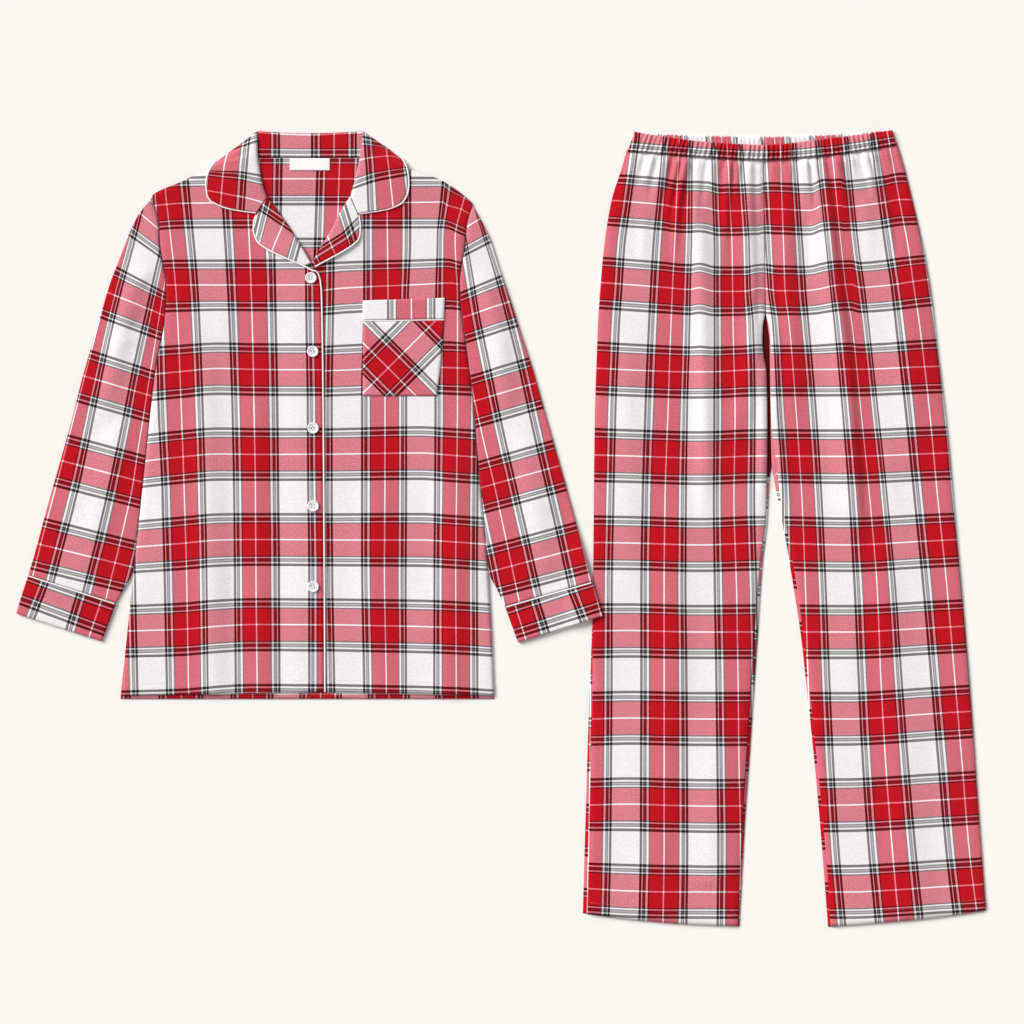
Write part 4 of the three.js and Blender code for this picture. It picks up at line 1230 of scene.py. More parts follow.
def cut_size(grid):
    """The width, length and area of a grid of points, as it would be cut flat."""
    width = max(sum(math.dist(a, b) for a, b in zip(row, row[1:])) for row in grid)
    columns = list(zip(*grid))
    length = max(sum(math.dist(a, b) for a, b in zip(line, line[1:])) for line in columns)
    area = 0
    for upper, lower in zip(grid, grid[1:]):
        for i in range(len(upper) - 1):
            a, b, c, d = (Vector(p) for p in (upper[i], upper[i + 1], lower[i + 1], lower[i]))
            area += ((b - a).cross(c - a).length + (c - a).cross(d - a).length) / 2
    return width * MM, length * MM, area * MM * MM


def cloth(node_name, columns, rows, place, marks, wall=WALL, closed=False):
    """A sheet of checked flannel from a grid of places on its upper face, or a tube where it is closed."""
    bm = bmesh.new()
    bmesh.ops.create_grid(bm, x_segments=columns, y_segments=rows, size=0.5)
    weave = bm.loops.layers.uv.new("cloth")
    grid = [[None] * (columns + 1) for _ in range(rows + 1)]
    marked = {}
    for vert in bm.verts:
        s, t = vert.co.x + 0.5, 0.5 - vert.co.y
        spot = place(s, t)
        marked[vert] = marks(s, t, spot)
        grid[round(t * rows)][round(s * columns)] = spot
        vert.co = Vector(spot) * MM
    for face in bm.faces:
        for loop in face.loops:
            loop[weave].uv = marked[loop.vert]
    if closed:
        bmesh.ops.remove_doubles(bm, verts=bm.verts, dist=0.00001)
        bmesh.ops.recalc_face_normals(bm, faces=bm.faces)
    else:
        bm.normal_update()
        bm.faces.ensure_lookup_table()
        first = bm.faces[-1]  # at the start of the sheet's length, where its right side always looks up
        if first.normal.z < 0:
            bmesh.ops.reverse_faces(bm, faces=bm.faces)
    piece = new_piece(node_name + "_cloth", bm, FLANNEL)
    thicken(piece, wall)
    take_place(piece, node_name)
    width, length, area = cut_size(grid)


def as_marks(check_at):
    return lambda s, t, spot: check_at(spot[0], spot[1])


def cord(node_name, points, radius):
    """A round cord through a run of points, closed at both ends."""
    name = node_name + "_cord"
    curve = bpy.data.curves.new(name, "CURVE")
    curve.dimensions = "3D"
    curve.bevel_depth = radius * MM
    curve.bevel_resolution = CORD_ROUNDING
    curve.use_fill_caps = True
    line = curve.splines.new("POLY")
    smooth = rounded(points)
    line.points.add(len(smooth) - 1)
    for point, spot in zip(line.points, smooth):
        point.co = (*(c * MM for c in spot), 1)
    drawn = add_object(name + "_line", curve)
    mesh = final_mesh(drawn)
    bpy.data.objects.remove(drawn)
    bpy.data.curves.remove(curve)
    mesh.name = name
    take_place(add_object(name, dressed(mesh, PIPING)), node_name)


def stitches(name, runs):
    """Rows of lockstitch, each stitch a small bead stretched along its row, lying half in the cloth."""
    bm = bmesh.new()
    half_sizes = [STITCH[side] / 2 for side in ("length", "width", "height")]
    size = Matrix.Diagonal((*half_sizes, 1))
    for points in runs:
        path = route(points)
        count = int(path.length / STITCH["pitch"])
        for i in range(count):
            share = (i + 0.5) / count
            spot, ahead = Vector(path(share)), Vector(path(min(1, share + 0.002)))
            behind = Vector(path(max(0, share - 0.002)))
            along = (ahead - behind).normalized()
            across = Vector((-along.y, along.x, 0)).normalized()
            turn = Matrix((along, across, along.cross(across))).transposed().to_4x4()
            place = Matrix.Translation(spot * MM) @ turn @ Matrix.Scale(MM, 4) @ size
            bmesh.ops.create_icosphere(bm, subdivisions=1, radius=1, matrix=place)
    take_place(new_piece(name, bm, THREAD), None)


# The shirt body
def back_place(s, t):
    y = between(BODY_TOP, BACK_HEM, t)
    x = between(body_left(y), body_right(y), s)
    side = min(upright(body_left, x, y), upright(body_right, x, y))
    return x, y, body_rise(y) + CLOTH - 0.4 * side_drop(side)


def shirt_folds(x, y):
    return (shirt_ridge(x, y) + shirt_crease(x, y)) * sewn_flat(x, y)


def right_front_top(x, y):
    """The upper face of the right front, which lies over the left front along its edge."""
    from_edge = right_edge(y) - x
    uneven = ripple(x, y, 1.3) * (0.35 + 0.65 * ease(from_edge / 40))
    drop = side_drop(upright(body_left, x, y)) + 0.5 * (1 - ease(from_edge / 3))
    loft = max(0, shirt_folds(x, y) + uneven + 0.15)
    return body_rise(y) + LAYER + overlap_rise(y, from_edge) + CLOTH + loft - drop


def left_front_top(x, y):
    """The upper face of the left front, which stays flat where the right front covers it."""
    open_share = ease((x + 235) / 30)
    drop = side_drop(upright(body_right, x, y))
    loft = open_share * max(0, shirt_folds(x, y) + ripple(x, y, 4.1) + 0.1)
    return body_rise(y) + LAYER + CLOTH + loft - drop


def front_places(left, right, hem_ends, top):
    def place(s, t):
        hem = between(*hem_ends, s)
        y = between(BODY_TOP, hem, t)
        x = between(left(y), right(y), s)
        return x, y, top(x, y) + hem_swell(y - hem)

    return place


cloth("shirt_back", 100, 180, back_place, as_marks(BACK_CHECK))
cloth(
    "shirt_front_right", 60, 220,
    front_places(body_left, right_edge, (HEM_SIDE, HEM_MIDDLE), right_front_top),
    as_marks(RIGHT_FRONT_CHECK),
)
cloth(
    "shirt_front_left", 64, 220,
    front_places(left_edge, body_right, (HEM_MIDDLE, HEM_SIDE), left_front_top),
    as_marks(LEFT_FRONT_CHECK),
)


# Sleeves and cuffs, each a tube pressed flat
def lofted(rows):
    """The place on rows of points at a share across and a share down, smooth from row to row."""
    paths = [route(rounded(row) if len(row) > 2 else row) for row in rows]
    middles = [path(0.5) for path in paths]
    down = [0]
    for a, b in zip(middles, middles[1:]):
        down.append(down[-1] + math.dist(a, b))
    known = {}

    def place(s, t):
        if s not in known:
            spots = [path(s) for path in paths]
            known[s] = tuple(smooth_line([(d, p[k]) for d, p in zip(down, spots)]) for k in (0, 1))
        line = known[s]
        return line[0](t * down[-1]), line[1](t * down[-1])

    place.length = down[-1]
    return place


def pressed_tube(rows, turn_radius, lift, thick, loft):
    """Places round a flat tube: once across its upper layer, and back across the one that lies below."""
    flat = lofted(rows)

    def share_across(s):
        return 0.5 - 0.5 * math.cos(2 * math.pi * s)

    def place(s, t):
        across = round(share_across(s), 9)
        x, y = flat(across, t)
        left, right = flat(0.0, t), flat(1.0, t)
        from_fold = min(across, 1 - across) * math.dist(left, right)
        bend = quarter_turn(from_fold, turn_radius)
        rise = lift(x, y)
        middle = rise + thick / 2
        upper = rise + thick + loft(x, y, across, t * flat.length)
        z = between(middle, upper, bend) if s < 0.5 else between(middle, rise, bend)
        return x, y, z

    def marks(check_at):
        def mark(s, t, spot):
            u, v = check_at(spot[0], spot[1])
            if s <= 0.5:
                return u, v
            return 2 * check_at(*flat(0.0, t))[0] - u, v

        return mark

    return place, marks


def sleeve(node_name, rows, side_at, outward, check_at, seed):
    rows = [
        [p if isinstance(p, tuple) else (side_at(p) + SLEEVE_GAP * outward, p) for p in row]
        for row in rows
    ]

    def lift(x, y):
        return cuff_rise(x) * ease((40 - y) / 90)

    def loft(x, y, across, down):
        fold = 0.9 * sleeve_ridge(x, y) + sleeve_crease(x, y) + ripple(x, y, seed)
        ends = ease(across / 0.1) * ease((1 - across) / 0.1)
        seam = fading(SLEEVE["seam_drop"], down, SLEEVE["seam"])
        return SLEEVE["belly"] * math.sin(math.pi * across) + fold * ends - seam

    place, marks = pressed_tube(rows, SLEEVE["turn"], lift, SLEEVE["height"], loft)
    cloth(node_name, 68, 150, place, marks(check_at), closed=True)


def cuff(node_name, rows, check_at, seed):
    def loft(x, y, across, down):
        seam = fading(CUFF["drop"], down, CUFF["seam"])
        edge = fading(CUFF["drop"], CUFF["depth"] - down, CUFF["edge"])
        return CUFF["belly"] * math.sin(math.pi * across) + 0.5 * ripple(x, y, seed) - seam - edge

    place, marks = pressed_tube(rows, CUFF["turn"], lambda x, y: cuff_rise(x), CUFF["height"], loft)
    cloth(node_name, 68, 18, place, marks(check_at), wall=CUFF_WALL, closed=True)


sleeve("sleeve_right", RIGHT_SLEEVE, body_left, -1, RIGHT_SLEEVE_CHECK, 12.7)
sleeve("sleeve_left", LEFT_SLEEVE, body_right, 1, LEFT_SLEEVE_CHECK, 23.1)
cuff("cuff_right", RIGHT_CUFF, RIGHT_CUFF_CHECK, 31.4)
cuff("cuff_left", LEFT_CUFF, LEFT_CUFF_CHECK, 37.9)


# Collar and lapels
FLAP = {"edge_width": 3, "clear": 0.1, "ripple": 0.3}
LEAF = {"roll": 1.9, "radius": 5, "edge": 0.5, "seed": 55.2, "belly": 0.9}
LAPEL = {"roll": 1.6, "radius": 4.5, "edge": 0.4, "seed": 61.8, "belly": 0.6}


def flap(node_name, rows, check_at, columns, shape, under, belly):
    """A collar leaf or a lapel, from its roll line out to its free edge."""
    flat = lofted(rows)

    def place(s, t):
        x, y = flat(s, t)
        width = math.dist(flat(0.0, t), flat(1.0, t))
        down = t * flat.length
        roll = shape["roll"] * (1 - quarter_turn(s * width, shape["radius"]))
        edge = fading(shape["edge"], (1 - s) * width, FLAP["edge_width"])
        z = under(x, y, down, s * width) + COLLAR_WALL + FLAP["clear"] + belly(s, t, down) - roll - edge
        return x, y, z + FLAP["ripple"] * ripple(x, y, shape["seed"])

    cloth(
        node_name, columns, 44, place, as_marks(check_at), wall=COLLAR_WALL,
    )


def leaf(node_name, rows, check_at):
    def under(x, y, down, from_roll):
        return leaf_under(y, down) - leaf_droop(x, y) * ease((from_roll - 6) / 14)

    def belly(s, t, down):
        return LEAF["belly"] * math.sin(math.pi * s) * ease(down / 30)

    bottom = [rows[-1][0], *rounded(rows[-1][1:])]
    flap(node_name, [*rows[:-1], bottom], check_at, 26, LEAF, under, belly)


def lapel(node_name, rows, check_at):
    def under(x, y, down, from_roll):
        return lapel_under(y)

    def belly(s, t, down):
        return LAPEL["belly"] * math.sin(math.pi * s) * math.sin(math.pi * t)

    flap(node_name, rows, check_at, 20, LAPEL, under, belly)


leaf("collar_leaf_right", RIGHT_LEAF, RIGHT_LEAF_CHECK)
leaf("collar_leaf_left", LEFT_LEAF, LEFT_LEAF_CHECK)
lapel("lapel_right", RIGHT_LAPEL, RIGHT_LAPEL_CHECK)
lapel("lapel_left", LEFT_LAPEL, LEFT_LAPEL_CHECK)


def collar_back():
    """The stand and the fall are one piece of cloth, turned over at the roll line."""
    top = LAYER + CLOTH
    radius = top / 2
    stand = STAND["roll"] - radius - STAND["seam"]
    turn = math.pi * radius
    fall = STAND["roll"] - radius - STAND["fall_edge"]
    whole = stand + turn + fall
    left, right = column(COLLAR_BACK, "y", "left"), column(COLLAR_BACK, "y", "right")

    def place(s, t):
        far = t * whole
        if far < stand:
            y, z = STAND["seam"] + far, top
        elif far < stand + turn:
            bend = (far - stand) / radius
            y, z = STAND["roll"] - radius + radius * math.sin(bend), radius + radius * math.cos(bend)
        else:
            y, z = STAND["roll"] - radius - (far - stand - turn), 0
        share = ease((far - stand) / turn)
        x = between(between(STAND["left"], left(y), share), between(STAND["right"], right(y), share), s)
        near_roll = ease((y - STAND["seam"]) / (STAND["roll"] - STAND["seam"]))
        return x, y - STAND["sag"] * math.sin(math.pi * s) * near_roll, z

    def marks(s, t, spot):
        far = t * whole
        u, v = STAND_CHECK(spot[0], spot[1])
        if far < stand + turn / 2:
            return u, v
        roll = STAND_CHECK(spot[0], STAND["roll"] - STAND["sag"] * math.sin(math.pi * s))[1]
        return u, roll - (far - stand - turn / 2) / ALONG_REPEAT

    cloth("collar_back", 50, 60, place, marks, wall=STAND_WALL)


collar_back()


# Pocket
SEWN = {"drop": 0.6, "width": 2.2, "groove": 0.25, "groove_at": 3, "top_drop": 0.5, "top_width": 2.5}


def pocket_right(y):
    right = POCKET["right"]
    return smooth_line([
        (POCKET["band_top"][1], right[0]),
        (POCKET["seam"][1], right[1]),
        (212, between(right[1], right[2], 0.5) + 1),
        (POCKET["bottom"], right[2]),
    ])(y)


def pocket_body():
    low, high = POCKET["bottom"], POCKET["seam"]
    half = POCKET["seam_width"] / 2

    def place(s, t):
        y = between(between(high[0], high[1], s) - half, low, t)
        x = between(POCKET["left"], pocket_right(y), s)
        from_side = min(x - POCKET["left"], pocket_right(y) - x, y - low)
        groove = SEWN["groove"] * math.exp(-((from_side - SEWN["groove_at"]) ** 2))
        sewn = fading(SEWN["drop"], from_side, SEWN["width"]) - groove
        swell = 0.5 * math.sin(math.pi * s) * math.sin(math.pi * t)
        return x, y, left_front_top(x, y) + POCKET_CLEAR + WALL + swell - sewn

    cloth("pocket", 36, 34, place, as_marks(POCKET_CHECK))


def pocket_band():
    half = POCKET["seam_width"] / 2

    def place(s, t):
        top = between(*POCKET["band_top"], s)
        foot = between(*POCKET["seam"], s) + half
        y = between(top, foot, t)
        x = between(POCKET["left"], pocket_right(y), s)
        from_side = min(x - POCKET["left"], pocket_right(y) - x)
        sides = fading(SEWN["drop"], from_side, SEWN["width"])
        sewn = sides + fading(SEWN["top_drop"], top - y, SEWN["top_width"])
        return x, y, left_front_top(x, y) + POCKET_CLEAR + POCKET_CLOTH + 0.3 - sewn

    cloth(
        "pocket_band", 36, 12, place, as_marks(POCKET_BAND_CHECK), wall=POCKET_CLOTH,
    )


pocket_body()
pocket_band()


# Trousers
def leg_places(leg, side):
    outer, inner = column(leg["outer"], "y", side), column(leg["inner"], "y", side)
    waist = column(WAISTBAND, "x", "lower")

    def place(s, t):
        edges = sorted((outer(between(*leg["outer_ends"], t)), inner(between(*leg["inner_ends"], t))))
        x = between(*edges, s)
        return x, between(waist(x) + UNDER_BAND, leg["hem"](x), t)

    return place


def gathers(count, s):
    """One gathered pleat after another, a little uneven, as a share of the full depth."""
    drift = 0.22 * math.sin(2 * math.pi * 2.3 * s + 0.7) + 0.12 * math.sin(2 * math.pi * 5.1 * s)
    turn = count * s + drift
    return 1 - (0.5 - 0.5 * math.cos(2 * math.pi * turn)) ** 1.5, round(turn)


def leg_folds(x, y, seed):
    return max(0, trouser_ridge(x, y) + trouser_crease(x, y) + ripple(x, y, seed) + 0.15)


def crotch_swell(y, from_inner):
    """The legs' inner edges stand up on either side of the gap below the crotch."""
    spot = CROTCH
    along = ease((spot["top"] - y) / spot["fade"]) * ease((y - spot["foot"]) / spot["fade"])
    return spot["swell"] * along * math.exp(-(((from_inner - spot["from_edge"]) / spot["width"]) ** 2))


# Under the band the legs' cloth is held flat, and it is free further down.
HELD = {"above": 2, "width": 12, "least": 0.12, "sink": 0.8}


def trouser_front(node_name, leg, check_at, seed):
    flat = leg_places(leg, "front")
    inner = column(leg["inner"], "y", "front")
    length = leg["outer_ends"][0] - leg["outer_ends"][1]
    chance = random.Random(seed)
    depths = [chance.uniform(0.5, 1.5) for _ in range(LEG_GATHERS + 3)]
    lengths = [chance.uniform(0.6, 1.7) for _ in range(LEG_GATHERS + 3)]
    small = [chance.uniform(0.3, 1.2) for _ in range(3 * LEG_GATHERS + 3)]

    def place(s, t):
        down = t**1.15
        x, y = flat(s, down)
        from_band = down * length - UNDER_BAND
        sides = math.sqrt(math.sin(math.pi * s) + 1e-9)
        pleat, which = gathers(LEG_GATHERS, s)
        fade = clamp(1 - from_band / (GATHER_FADE * lengths[which]), 0, 1)
        deep = depths[which] * GATHER_DEPTH * pleat * fade * ease(2.5 * fade) * sides
        tuck, which = gathers(FINE_GATHERS * LEG_GATHERS, s)
        fine_fade = ease(1 - from_band / (FINE_FADE * small[which]))
        fine = FINE_DEPTH * small[which] * tuck * fine_fade * sides
        free = ease((from_band + HELD["above"]) / HELD["width"])
        left, right = flat(0.0, down)[0], flat(1.0, down)[0]
        drop = side_drop(min(x - left, right - x))
        edge = ease(min(x - left, right - x) / 14)
        loft = (leg_folds(x, y, seed) * edge + deep + fine) * between(HELD["least"], 1, free)
        loft += crotch_swell(y, abs(x - inner(y)))
        z = LAYER + CLOTH + loft - drop - HELD["sink"] * (1 - free)
        return x, y, z + hem_swell((1 - down) * length)

    cloth(node_name, 104, 230, place, as_marks(check_at))


def trouser_back(node_name, leg, check_at):
    flat = leg_places(leg, "back")

    def place(s, t):
        x, y = flat(s, t)
        left, right = flat(0.0, t)[0], flat(1.0, t)[0]
        return x, y, CLOTH - 0.4 * side_drop(min(x - left, right - x))

    cloth(node_name, 54, 200, place, as_marks(check_at))


trouser_back("trouser_back_right", RIGHT_LEG, RIGHT_BACK_CHECK)
trouser_back("trouser_back_left", LEFT_LEG, LEFT_BACK_CHECK)
trouser_front("trouser_front_right", RIGHT_LEG, RIGHT_LEG_CHECK, RIGHT_LEG_SEED)
trouser_front("trouser_front_left", LEFT_LEG, LEFT_LEG_CHECK, LEFT_LEG_SEED)


BAND = {
    "ends": 16,
    "mean_pleat": 0.6,
    "wave": 1.1,
    "wave_change": 1.6,
    "turn": 3,
    "belly": 0.6,
    "roll": 1.5,
    "squareness": 0.7,
    "pleat": 2.3,
    "lower_pleat": 0.5,
    "middle": 2.1,
}


def waistband():
    """The waistband is a ring pressed flat, gathered all round by its elastic."""
    lower = column(WAISTBAND, "x", "lower")
    front, back = column(WAISTBAND, "x", "front"), column(WAISTBAND, "x", "back")
    chance = random.Random(3)
    depths = [chance.uniform(0.4, 1.5) for _ in range(BAND_GATHERS + 4)]

    def place(s, t):
        over = s < 0.5
        share = 2 * s if over else 2 - 2 * s
        start = between(*WAIST_CORNERS["left"], t)
        end = between(*WAIST_CORNERS["right"], t)
        x = between(start, end, share)
        pleat, which = gathers(BAND_GATHERS, share)
        pleat *= depths[which] * min(1, BAND["ends"] * share, BAND["ends"] * (1 - share))
        y = between((front if over else back)(x), lower(x), t)
        y += (BAND["mean_pleat"] - pleat) * BAND["wave"] * (1 - BAND["wave_change"] * t)
        bend = quarter_turn(min(share, 1 - share) * (end - start), BAND["turn"])
        swell = BAND["belly"] * math.sin(math.pi * share)
        swell += BAND["roll"] * math.sin(math.pi * t) ** BAND["squareness"]
        level = BAND_HEIGHT + swell + BAND["pleat"] * pleat if over else BAND["lower_pleat"] * pleat
        return x, y, between(BAND["middle"], level, bend)

    def marks(s, t, spot):
        x, y = spot[0], spot[1]
        warps = RIGHT_LEG_WARPS if x < CENTRE_SEAM else LEFT_LEG_WARPS
        if s >= 0.5:
            return warps(x + BACK_BAND_SHIFT, y), BACK_BAND_ROW
        return warps(x, y), 0.24 - (y - lower(x) - BAND_GROUP) / ALONG_REPEAT

    cloth("waistband", 900, 12, place, marks, wall=BAND_WALL, closed=True)


waistband()


# Trim
def beside(points, distance):
    """A run of points moved sideways: to its right for a positive distance, looking along it."""
    moved = []
    for i, p in enumerate(points):
        a, b = points[max(0, i - 1)], points[min(len(points) - 1, i + 1)]
        long = math.dist(a, b)
        moved.append((p[0] + distance * (b[1] - a[1]) / long, p[1] - distance * (b[0] - a[0]) / long))
    return moved


def collar_piping(node_name, rows, side):
    bottom = rows[-1][1:][::-1]
    notch, before = bottom[-1], bottom[-2]
    stop = 1 - 1.5 / math.dist(notch, before)
    bottom[-1] = tuple(between(a, b, stop) for a, b in zip(before, notch))
    edge = beside([row[1] for row in rows[:-1]] + bottom, side * (PIPING_RADIUS + 0.1))
    points = [(x, y, leaf_under(y, 20) + PIPING_LIFT - leaf_droop(x, y)) for x, y in edge]
    points[0] = (*points[0][:2], points[0][2] - 2)
    cord(node_name, points, PIPING_RADIUS)


def on_lapel(y):
    return lapel_under(y) + PIPING_LIFT


# The right lapel's piping turns above the first button and runs on down the front's edge.
RIGHT_NOTCH = (-304.6, 391)
LEFT_NOTCH = (-178.6, 391)
LAPEL_FOOT = (-247, 329.6)
PIPING_TURN = [(-236.4, 322.6, 7.4), (-229.8, 320.4, 6.6)]
PIPING_HEIGHTS = (312, 306, 290, 220, 160, 60, -60, -140, HEM_MIDDLE + 0.4)


def front_piping():
    edge = [RIGHT_NOTCH, *[row[1] for row in RIGHT_LAPEL[1:-1]], LAPEL_FOOT]
    upper = [(x, y, on_lapel(y)) for x, y in beside(edge, PIPING_RADIUS + 0.2)]
    front = [(right_edge(y) + PIPING_RADIUS + 0.1, y, 2 * LAYER + 1.45) for y in PIPING_HEIGHTS]
    cord("front_piping_right", [*upper, *PIPING_TURN, *front], PIPING_RADIUS)


def lapel_piping():
    edge = beside([LEFT_NOTCH, *[row[1] for row in LEFT_LAPEL[1:]]], -(PIPING_RADIUS + 0.2))
    cord("lapel_piping_left", [(x, y, on_lapel(y)) for x, y in edge], PIPING_RADIUS)


def cuff_piping(node_name, rows):
    points = []
    for i in range(13):
        share = between(0.012, 0.988, i / 12)
        seam = [between(a, b, share) for a, b in zip(*rows[0])]
        below = [between(a, b, share) for a, b in zip(*rows[1])]
        reach = 1 / math.dist(seam, below)
        x, y = (between(a, b, reach) for a, b in zip(seam, below))
        belly = CUFF["belly"] * math.sin(math.pi * share)
        points.append((x, y, cuff_rise(x) + CUFF["height"] + belly + 0.3))
    cord(node_name, points, NARROW_PIPING_RADIUS)


collar_piping("collar_piping_right", RIGHT_LEAF, 1)
collar_piping("collar_piping_left", LEFT_LEAF, -1)
front_piping()
lapel_piping()
cuff_piping("cuff_piping_right", RIGHT_CUFF)
cuff_piping("cuff_piping_left", LEFT_CUFF)
pocket_seam = [
    (between(POCKET["left"], POCKET["right"][1], i / 6), between(*POCKET["seam"], i / 6)) for i in range(7)
]
cord(
    "pocket_piping",
    [(x, y, left_front_top(x, y) + POCKET_CLEAR + NARROW_PIPING_RADIUS) for x, y in pocket_seam],
    NARROW_PIPING_RADIUS,
)


def neck_label():
    """A blank woven label, sewn down along its two short ends and its top."""
    box = NECK_LABEL
    bm = bmesh.new()
    bmesh.ops.create_grid(bm, x_segments=30, y_segments=10, size=0.5)
    for vert in bm.verts:
        s, t = vert.co.x + 0.5, vert.co.y + 0.5
        bow = 0.35 * math.sin(math.pi * s) * (1 - t) + 0.12 * math.sin(9 * s + 2 * t)
        x, y = between(box["left"], box["right"], s), between(box["bottom"], box["top"], t)
        vert.co = Vector((x, y, LAYER + CLOTH + 0.85 + bow)) * MM
    piece = new_piece("neck_label_satin", bm, LABEL)
    thicken(piece, 0.5)
    take_place(piece, "neck_label")


neck_label()


# Buttons
def button_mesh():
    radius, height, well = BUTTON["radius"], BUTTON["height"], BUTTON["well"]
    outline = [
        (0, 0), (radius * 0.78, 0), (radius * 0.95, height * 0.22), (radius, height * 0.5),
        (radius * 0.97, height * 0.82), (radius * 0.9, height), (radius * 0.8, height * 0.98),
        (radius * 0.7, height - well * 0.75), (radius * 0.58, height - well), (0, height - well),
    ]
    bm = bmesh.new()
    verts = [bm.verts.new((r * MM, 0, z * MM)) for r, z in outline]
    edges = [bm.edges.new(pair) for pair in zip(verts, verts[1:])]
    bmesh.ops.spin(
        bm, geom=verts + edges, cent=(0, 0, 0), axis=(0, 0, 1), angle=2 * math.pi, steps=40, use_merge=True
    )
    bmesh.ops.remove_doubles(bm, verts=bm.verts, dist=0.000001)
    bmesh.ops.recalc_face_normals(bm, faces=bm.faces)
    disc = new_piece("button_blank", bm, BUTTON_PEARL)
    drills = bmesh.new()
    for sx, sy in ((-1, -1), (1, -1), (1, 1), (-1, 1)):
        spot = Vector((sx * BUTTON["hole_spacing"] / 2, sy * BUTTON["hole_spacing"] / 2, height / 2)) * MM
        bmesh.ops.create_cone(
            drills, cap_ends=True, segments=16, radius1=BUTTON["hole_radius"] * MM,
            radius2=BUTTON["hole_radius"] * MM, depth=3 * height * MM, matrix=Matrix.Translation(spot),
        )
    drill = new_piece("button_drill", drills, BUTTON_PEARL, smooth=False)
    cutting = disc.modifiers.new("holes", "BOOLEAN")
    cutting.object = drill
    cutting.operation = "DIFFERENCE"
    cutting.solver = "EXACT"
    mesh = final_mesh(disc)
    bpy.data.objects.remove(disc)
    bpy.data.objects.remove(drill)
    return mesh


def button_threads(places):
    """Two strands side by side over each button's holes, all lying the same way."""
    bm = bmesh.new()
    half = BUTTON["hole_spacing"] / 2
    long, thick = BUTTON["thread_length"] / 2 * MM, BUTTON["thread_width"] / 2 * MM
    size = Matrix.Diagonal((long, thick, thick, 1))
    height = BUTTON["height"] - BUTTON["thread_sunk"]
    for x, y, z in places:
        for side in (-1, 1):
            place = Matrix.Translation(Vector((x, y + side * half, z + height)) * MM)
            bmesh.ops.create_icosphere(bm, subdivisions=2, radius=1, matrix=place @ size)
    take_place(new_piece("button_threads", bm, PIPING), None)


def buttons():
    shape = button_mesh()
    places = []
    for i, (x, y) in enumerate(BUTTONS):
        mesh = shape.copy()
        z = BUTTON["under"]
        places.append((x, y, z))
        mesh.transform(Matrix.Translation(Vector((x, y, z)) * MM) @ Matrix.Rotation(0.5 * i, 4, "Z"))
        mesh.name = f"pearl_button_{i + 1}"
        take_place(add_object(mesh.name, mesh), f"button_{i + 1}")
    bpy.data.meshes.remove(shape)
    button_threads(places)


buttons()


# Stitching
def on_front(top, points):
    return [(x, y, top(x, y) + 0.12) for x, y in points]


def spaced(a, b, count=40):
    return [[between(p, q, i / count) for p, q in zip(a, b)] for i in range(count + 1)]


def shirt_stitching():
    hem = HEM_SIDE + HEM_DEPTH
    middle = HEM_MIDDLE + HEM_DEPTH
    runs = [
        on_front(right_front_top, spaced((body_left(hem) + 3, hem), (right_edge(middle) - 2, middle), 60)),
        on_front(left_front_top, spaced((-216, middle), (body_right(hem) - 3, hem), 60)),
    ]
    stitches("shirt_stitches", runs)


def pocket_stitching():
    inset = 2.4
    left, low = POCKET["left"] + inset, POCKET["bottom"] + inset
    right_low = POCKET["right"][2] - inset
    height = POCKET_CLEAR + WALL + 0.1
    corners = [
        (left, POCKET["seam"][0] - 2),
        (left, low),
        (right_low, low),
        (POCKET["right"][1] - inset, POCKET["seam"][1] - 2),
    ]
    runs = [spaced(a, b) for a, b in zip(corners, corners[1:])]
    stitches("pocket_stitches", [[(x, y, left_front_top(x, y) + height) for x, y in run] for run in runs])


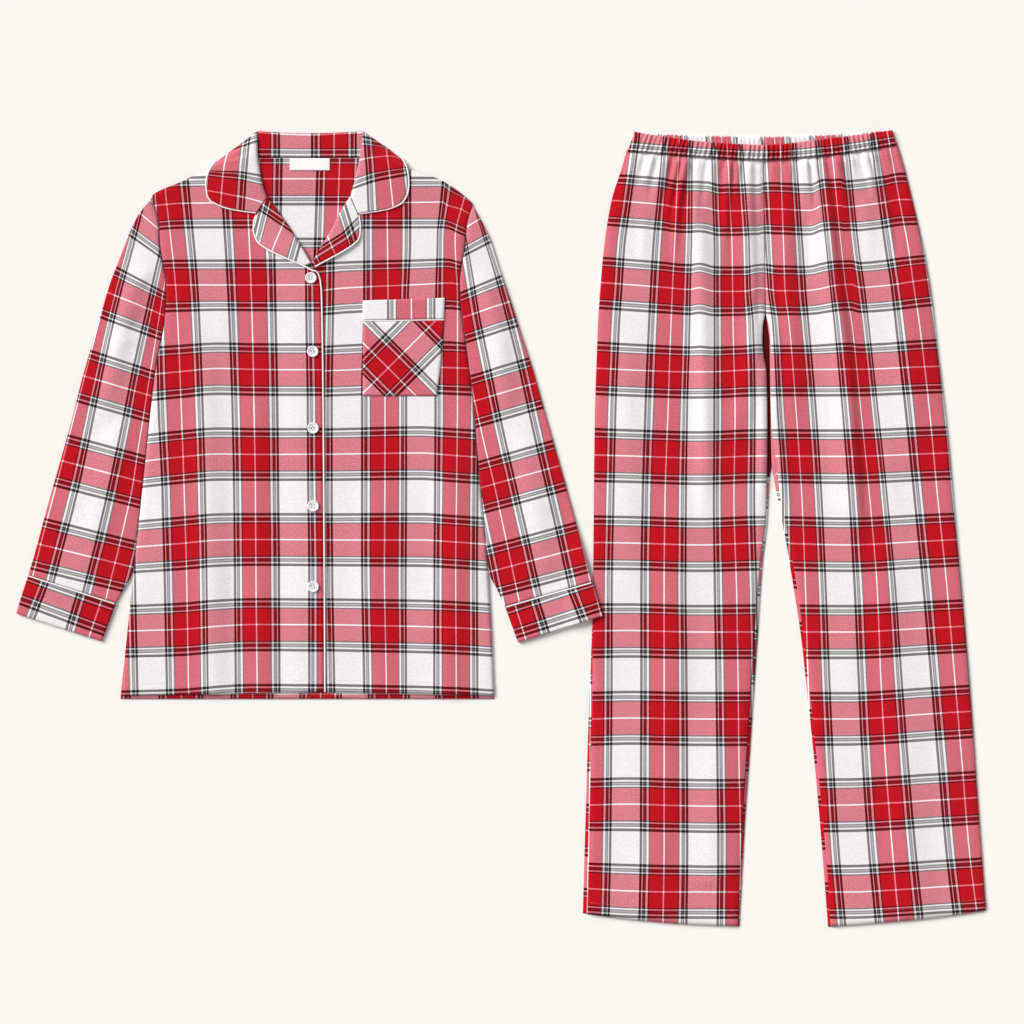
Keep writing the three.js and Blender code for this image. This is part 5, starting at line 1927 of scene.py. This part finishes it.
def leg_stitching(name, leg, seed):
    flat = leg_places(leg, "front")
    length = leg["outer_ends"][0] - leg["outer_ends"][1]
    share = 1 - HEM_DEPTH / length
    points = []
    for i in range(61):
        x, y = flat(between(0.015, 0.985, i / 60), share)
        points.append((x, y, LAYER + CLOTH + leg_folds(x, y, seed) + 0.05))
    stitches(name, [points])


shirt_stitching()
pocket_stitching()
leg_stitching("leg_stitches_right", RIGHT_LEG, RIGHT_LEG_SEED)
leg_stitching("leg_stitches_left", LEFT_LEG, LEFT_LEG_SEED)


# The surface, the light and the camera
FLOOR_BELOW = 0.3
ground = bmesh.new()
bmesh.ops.create_grid(ground, x_segments=4, y_segments=4, size=4)
bmesh.ops.translate(ground, verts=ground.verts, vec=(0, 0, -FLOOR_BELOW * MM))
floor = new_piece("floor", ground, SURFACE, smooth=False)
floor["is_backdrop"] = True

# One even light from the upper left, as soft as a wide window, and a pale room all round
KEY_LIGHT = {"towards": (-1.0, 0.7, 0.82), "softness": 34, "strength": 3.8, "colour": (1, 0.985, 0.97)}
ROOM = {"strength": 0.42, "colour": (1, 0.995, 0.985, 1)}
lamp = bpy.data.lights.new("key_light", "SUN")
lamp.angle = math.radians(KEY_LIGHT["softness"])
lamp.energy = KEY_LIGHT["strength"]
lamp.color = KEY_LIGHT["colour"]
key_light = add_object("key_light", lamp)
key_light.rotation_euler = Vector(KEY_LIGHT["towards"]).to_track_quat("Z", "Y").to_euler()

world = bpy.data.worlds.new("soft_room")
world.use_nodes = True
background = world.node_tree.nodes["Background"]
background.inputs["Color"].default_value = ROOM["colour"]
background.inputs["Strength"].default_value = ROOM["strength"]
bpy.context.scene.world = world
bpy.context.scene.view_settings.view_transform = "Standard"

VIEW_CENTRE = (13.75, 20.6)
VIEW_WIDTH = 1280  # what the camera takes in at the height of the upper layers
VIEW_HEIGHT = 3.5
LENS = 85
SENSOR = 36
camera_data = bpy.data.cameras.new("camera")
camera_data.lens = LENS
camera_data.sensor_width = SENSOR
camera = add_object("camera", camera_data)
camera.location = Vector((*VIEW_CENTRE, VIEW_WIDTH * LENS / SENSOR + VIEW_HEIGHT)) * MM
bpy.context.scene.camera = camera

sizes = {"cad": cad_box, "visual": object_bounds()}
{key: [[float(c) for c in corner] for corner in box] for key, box in sizes.items()}
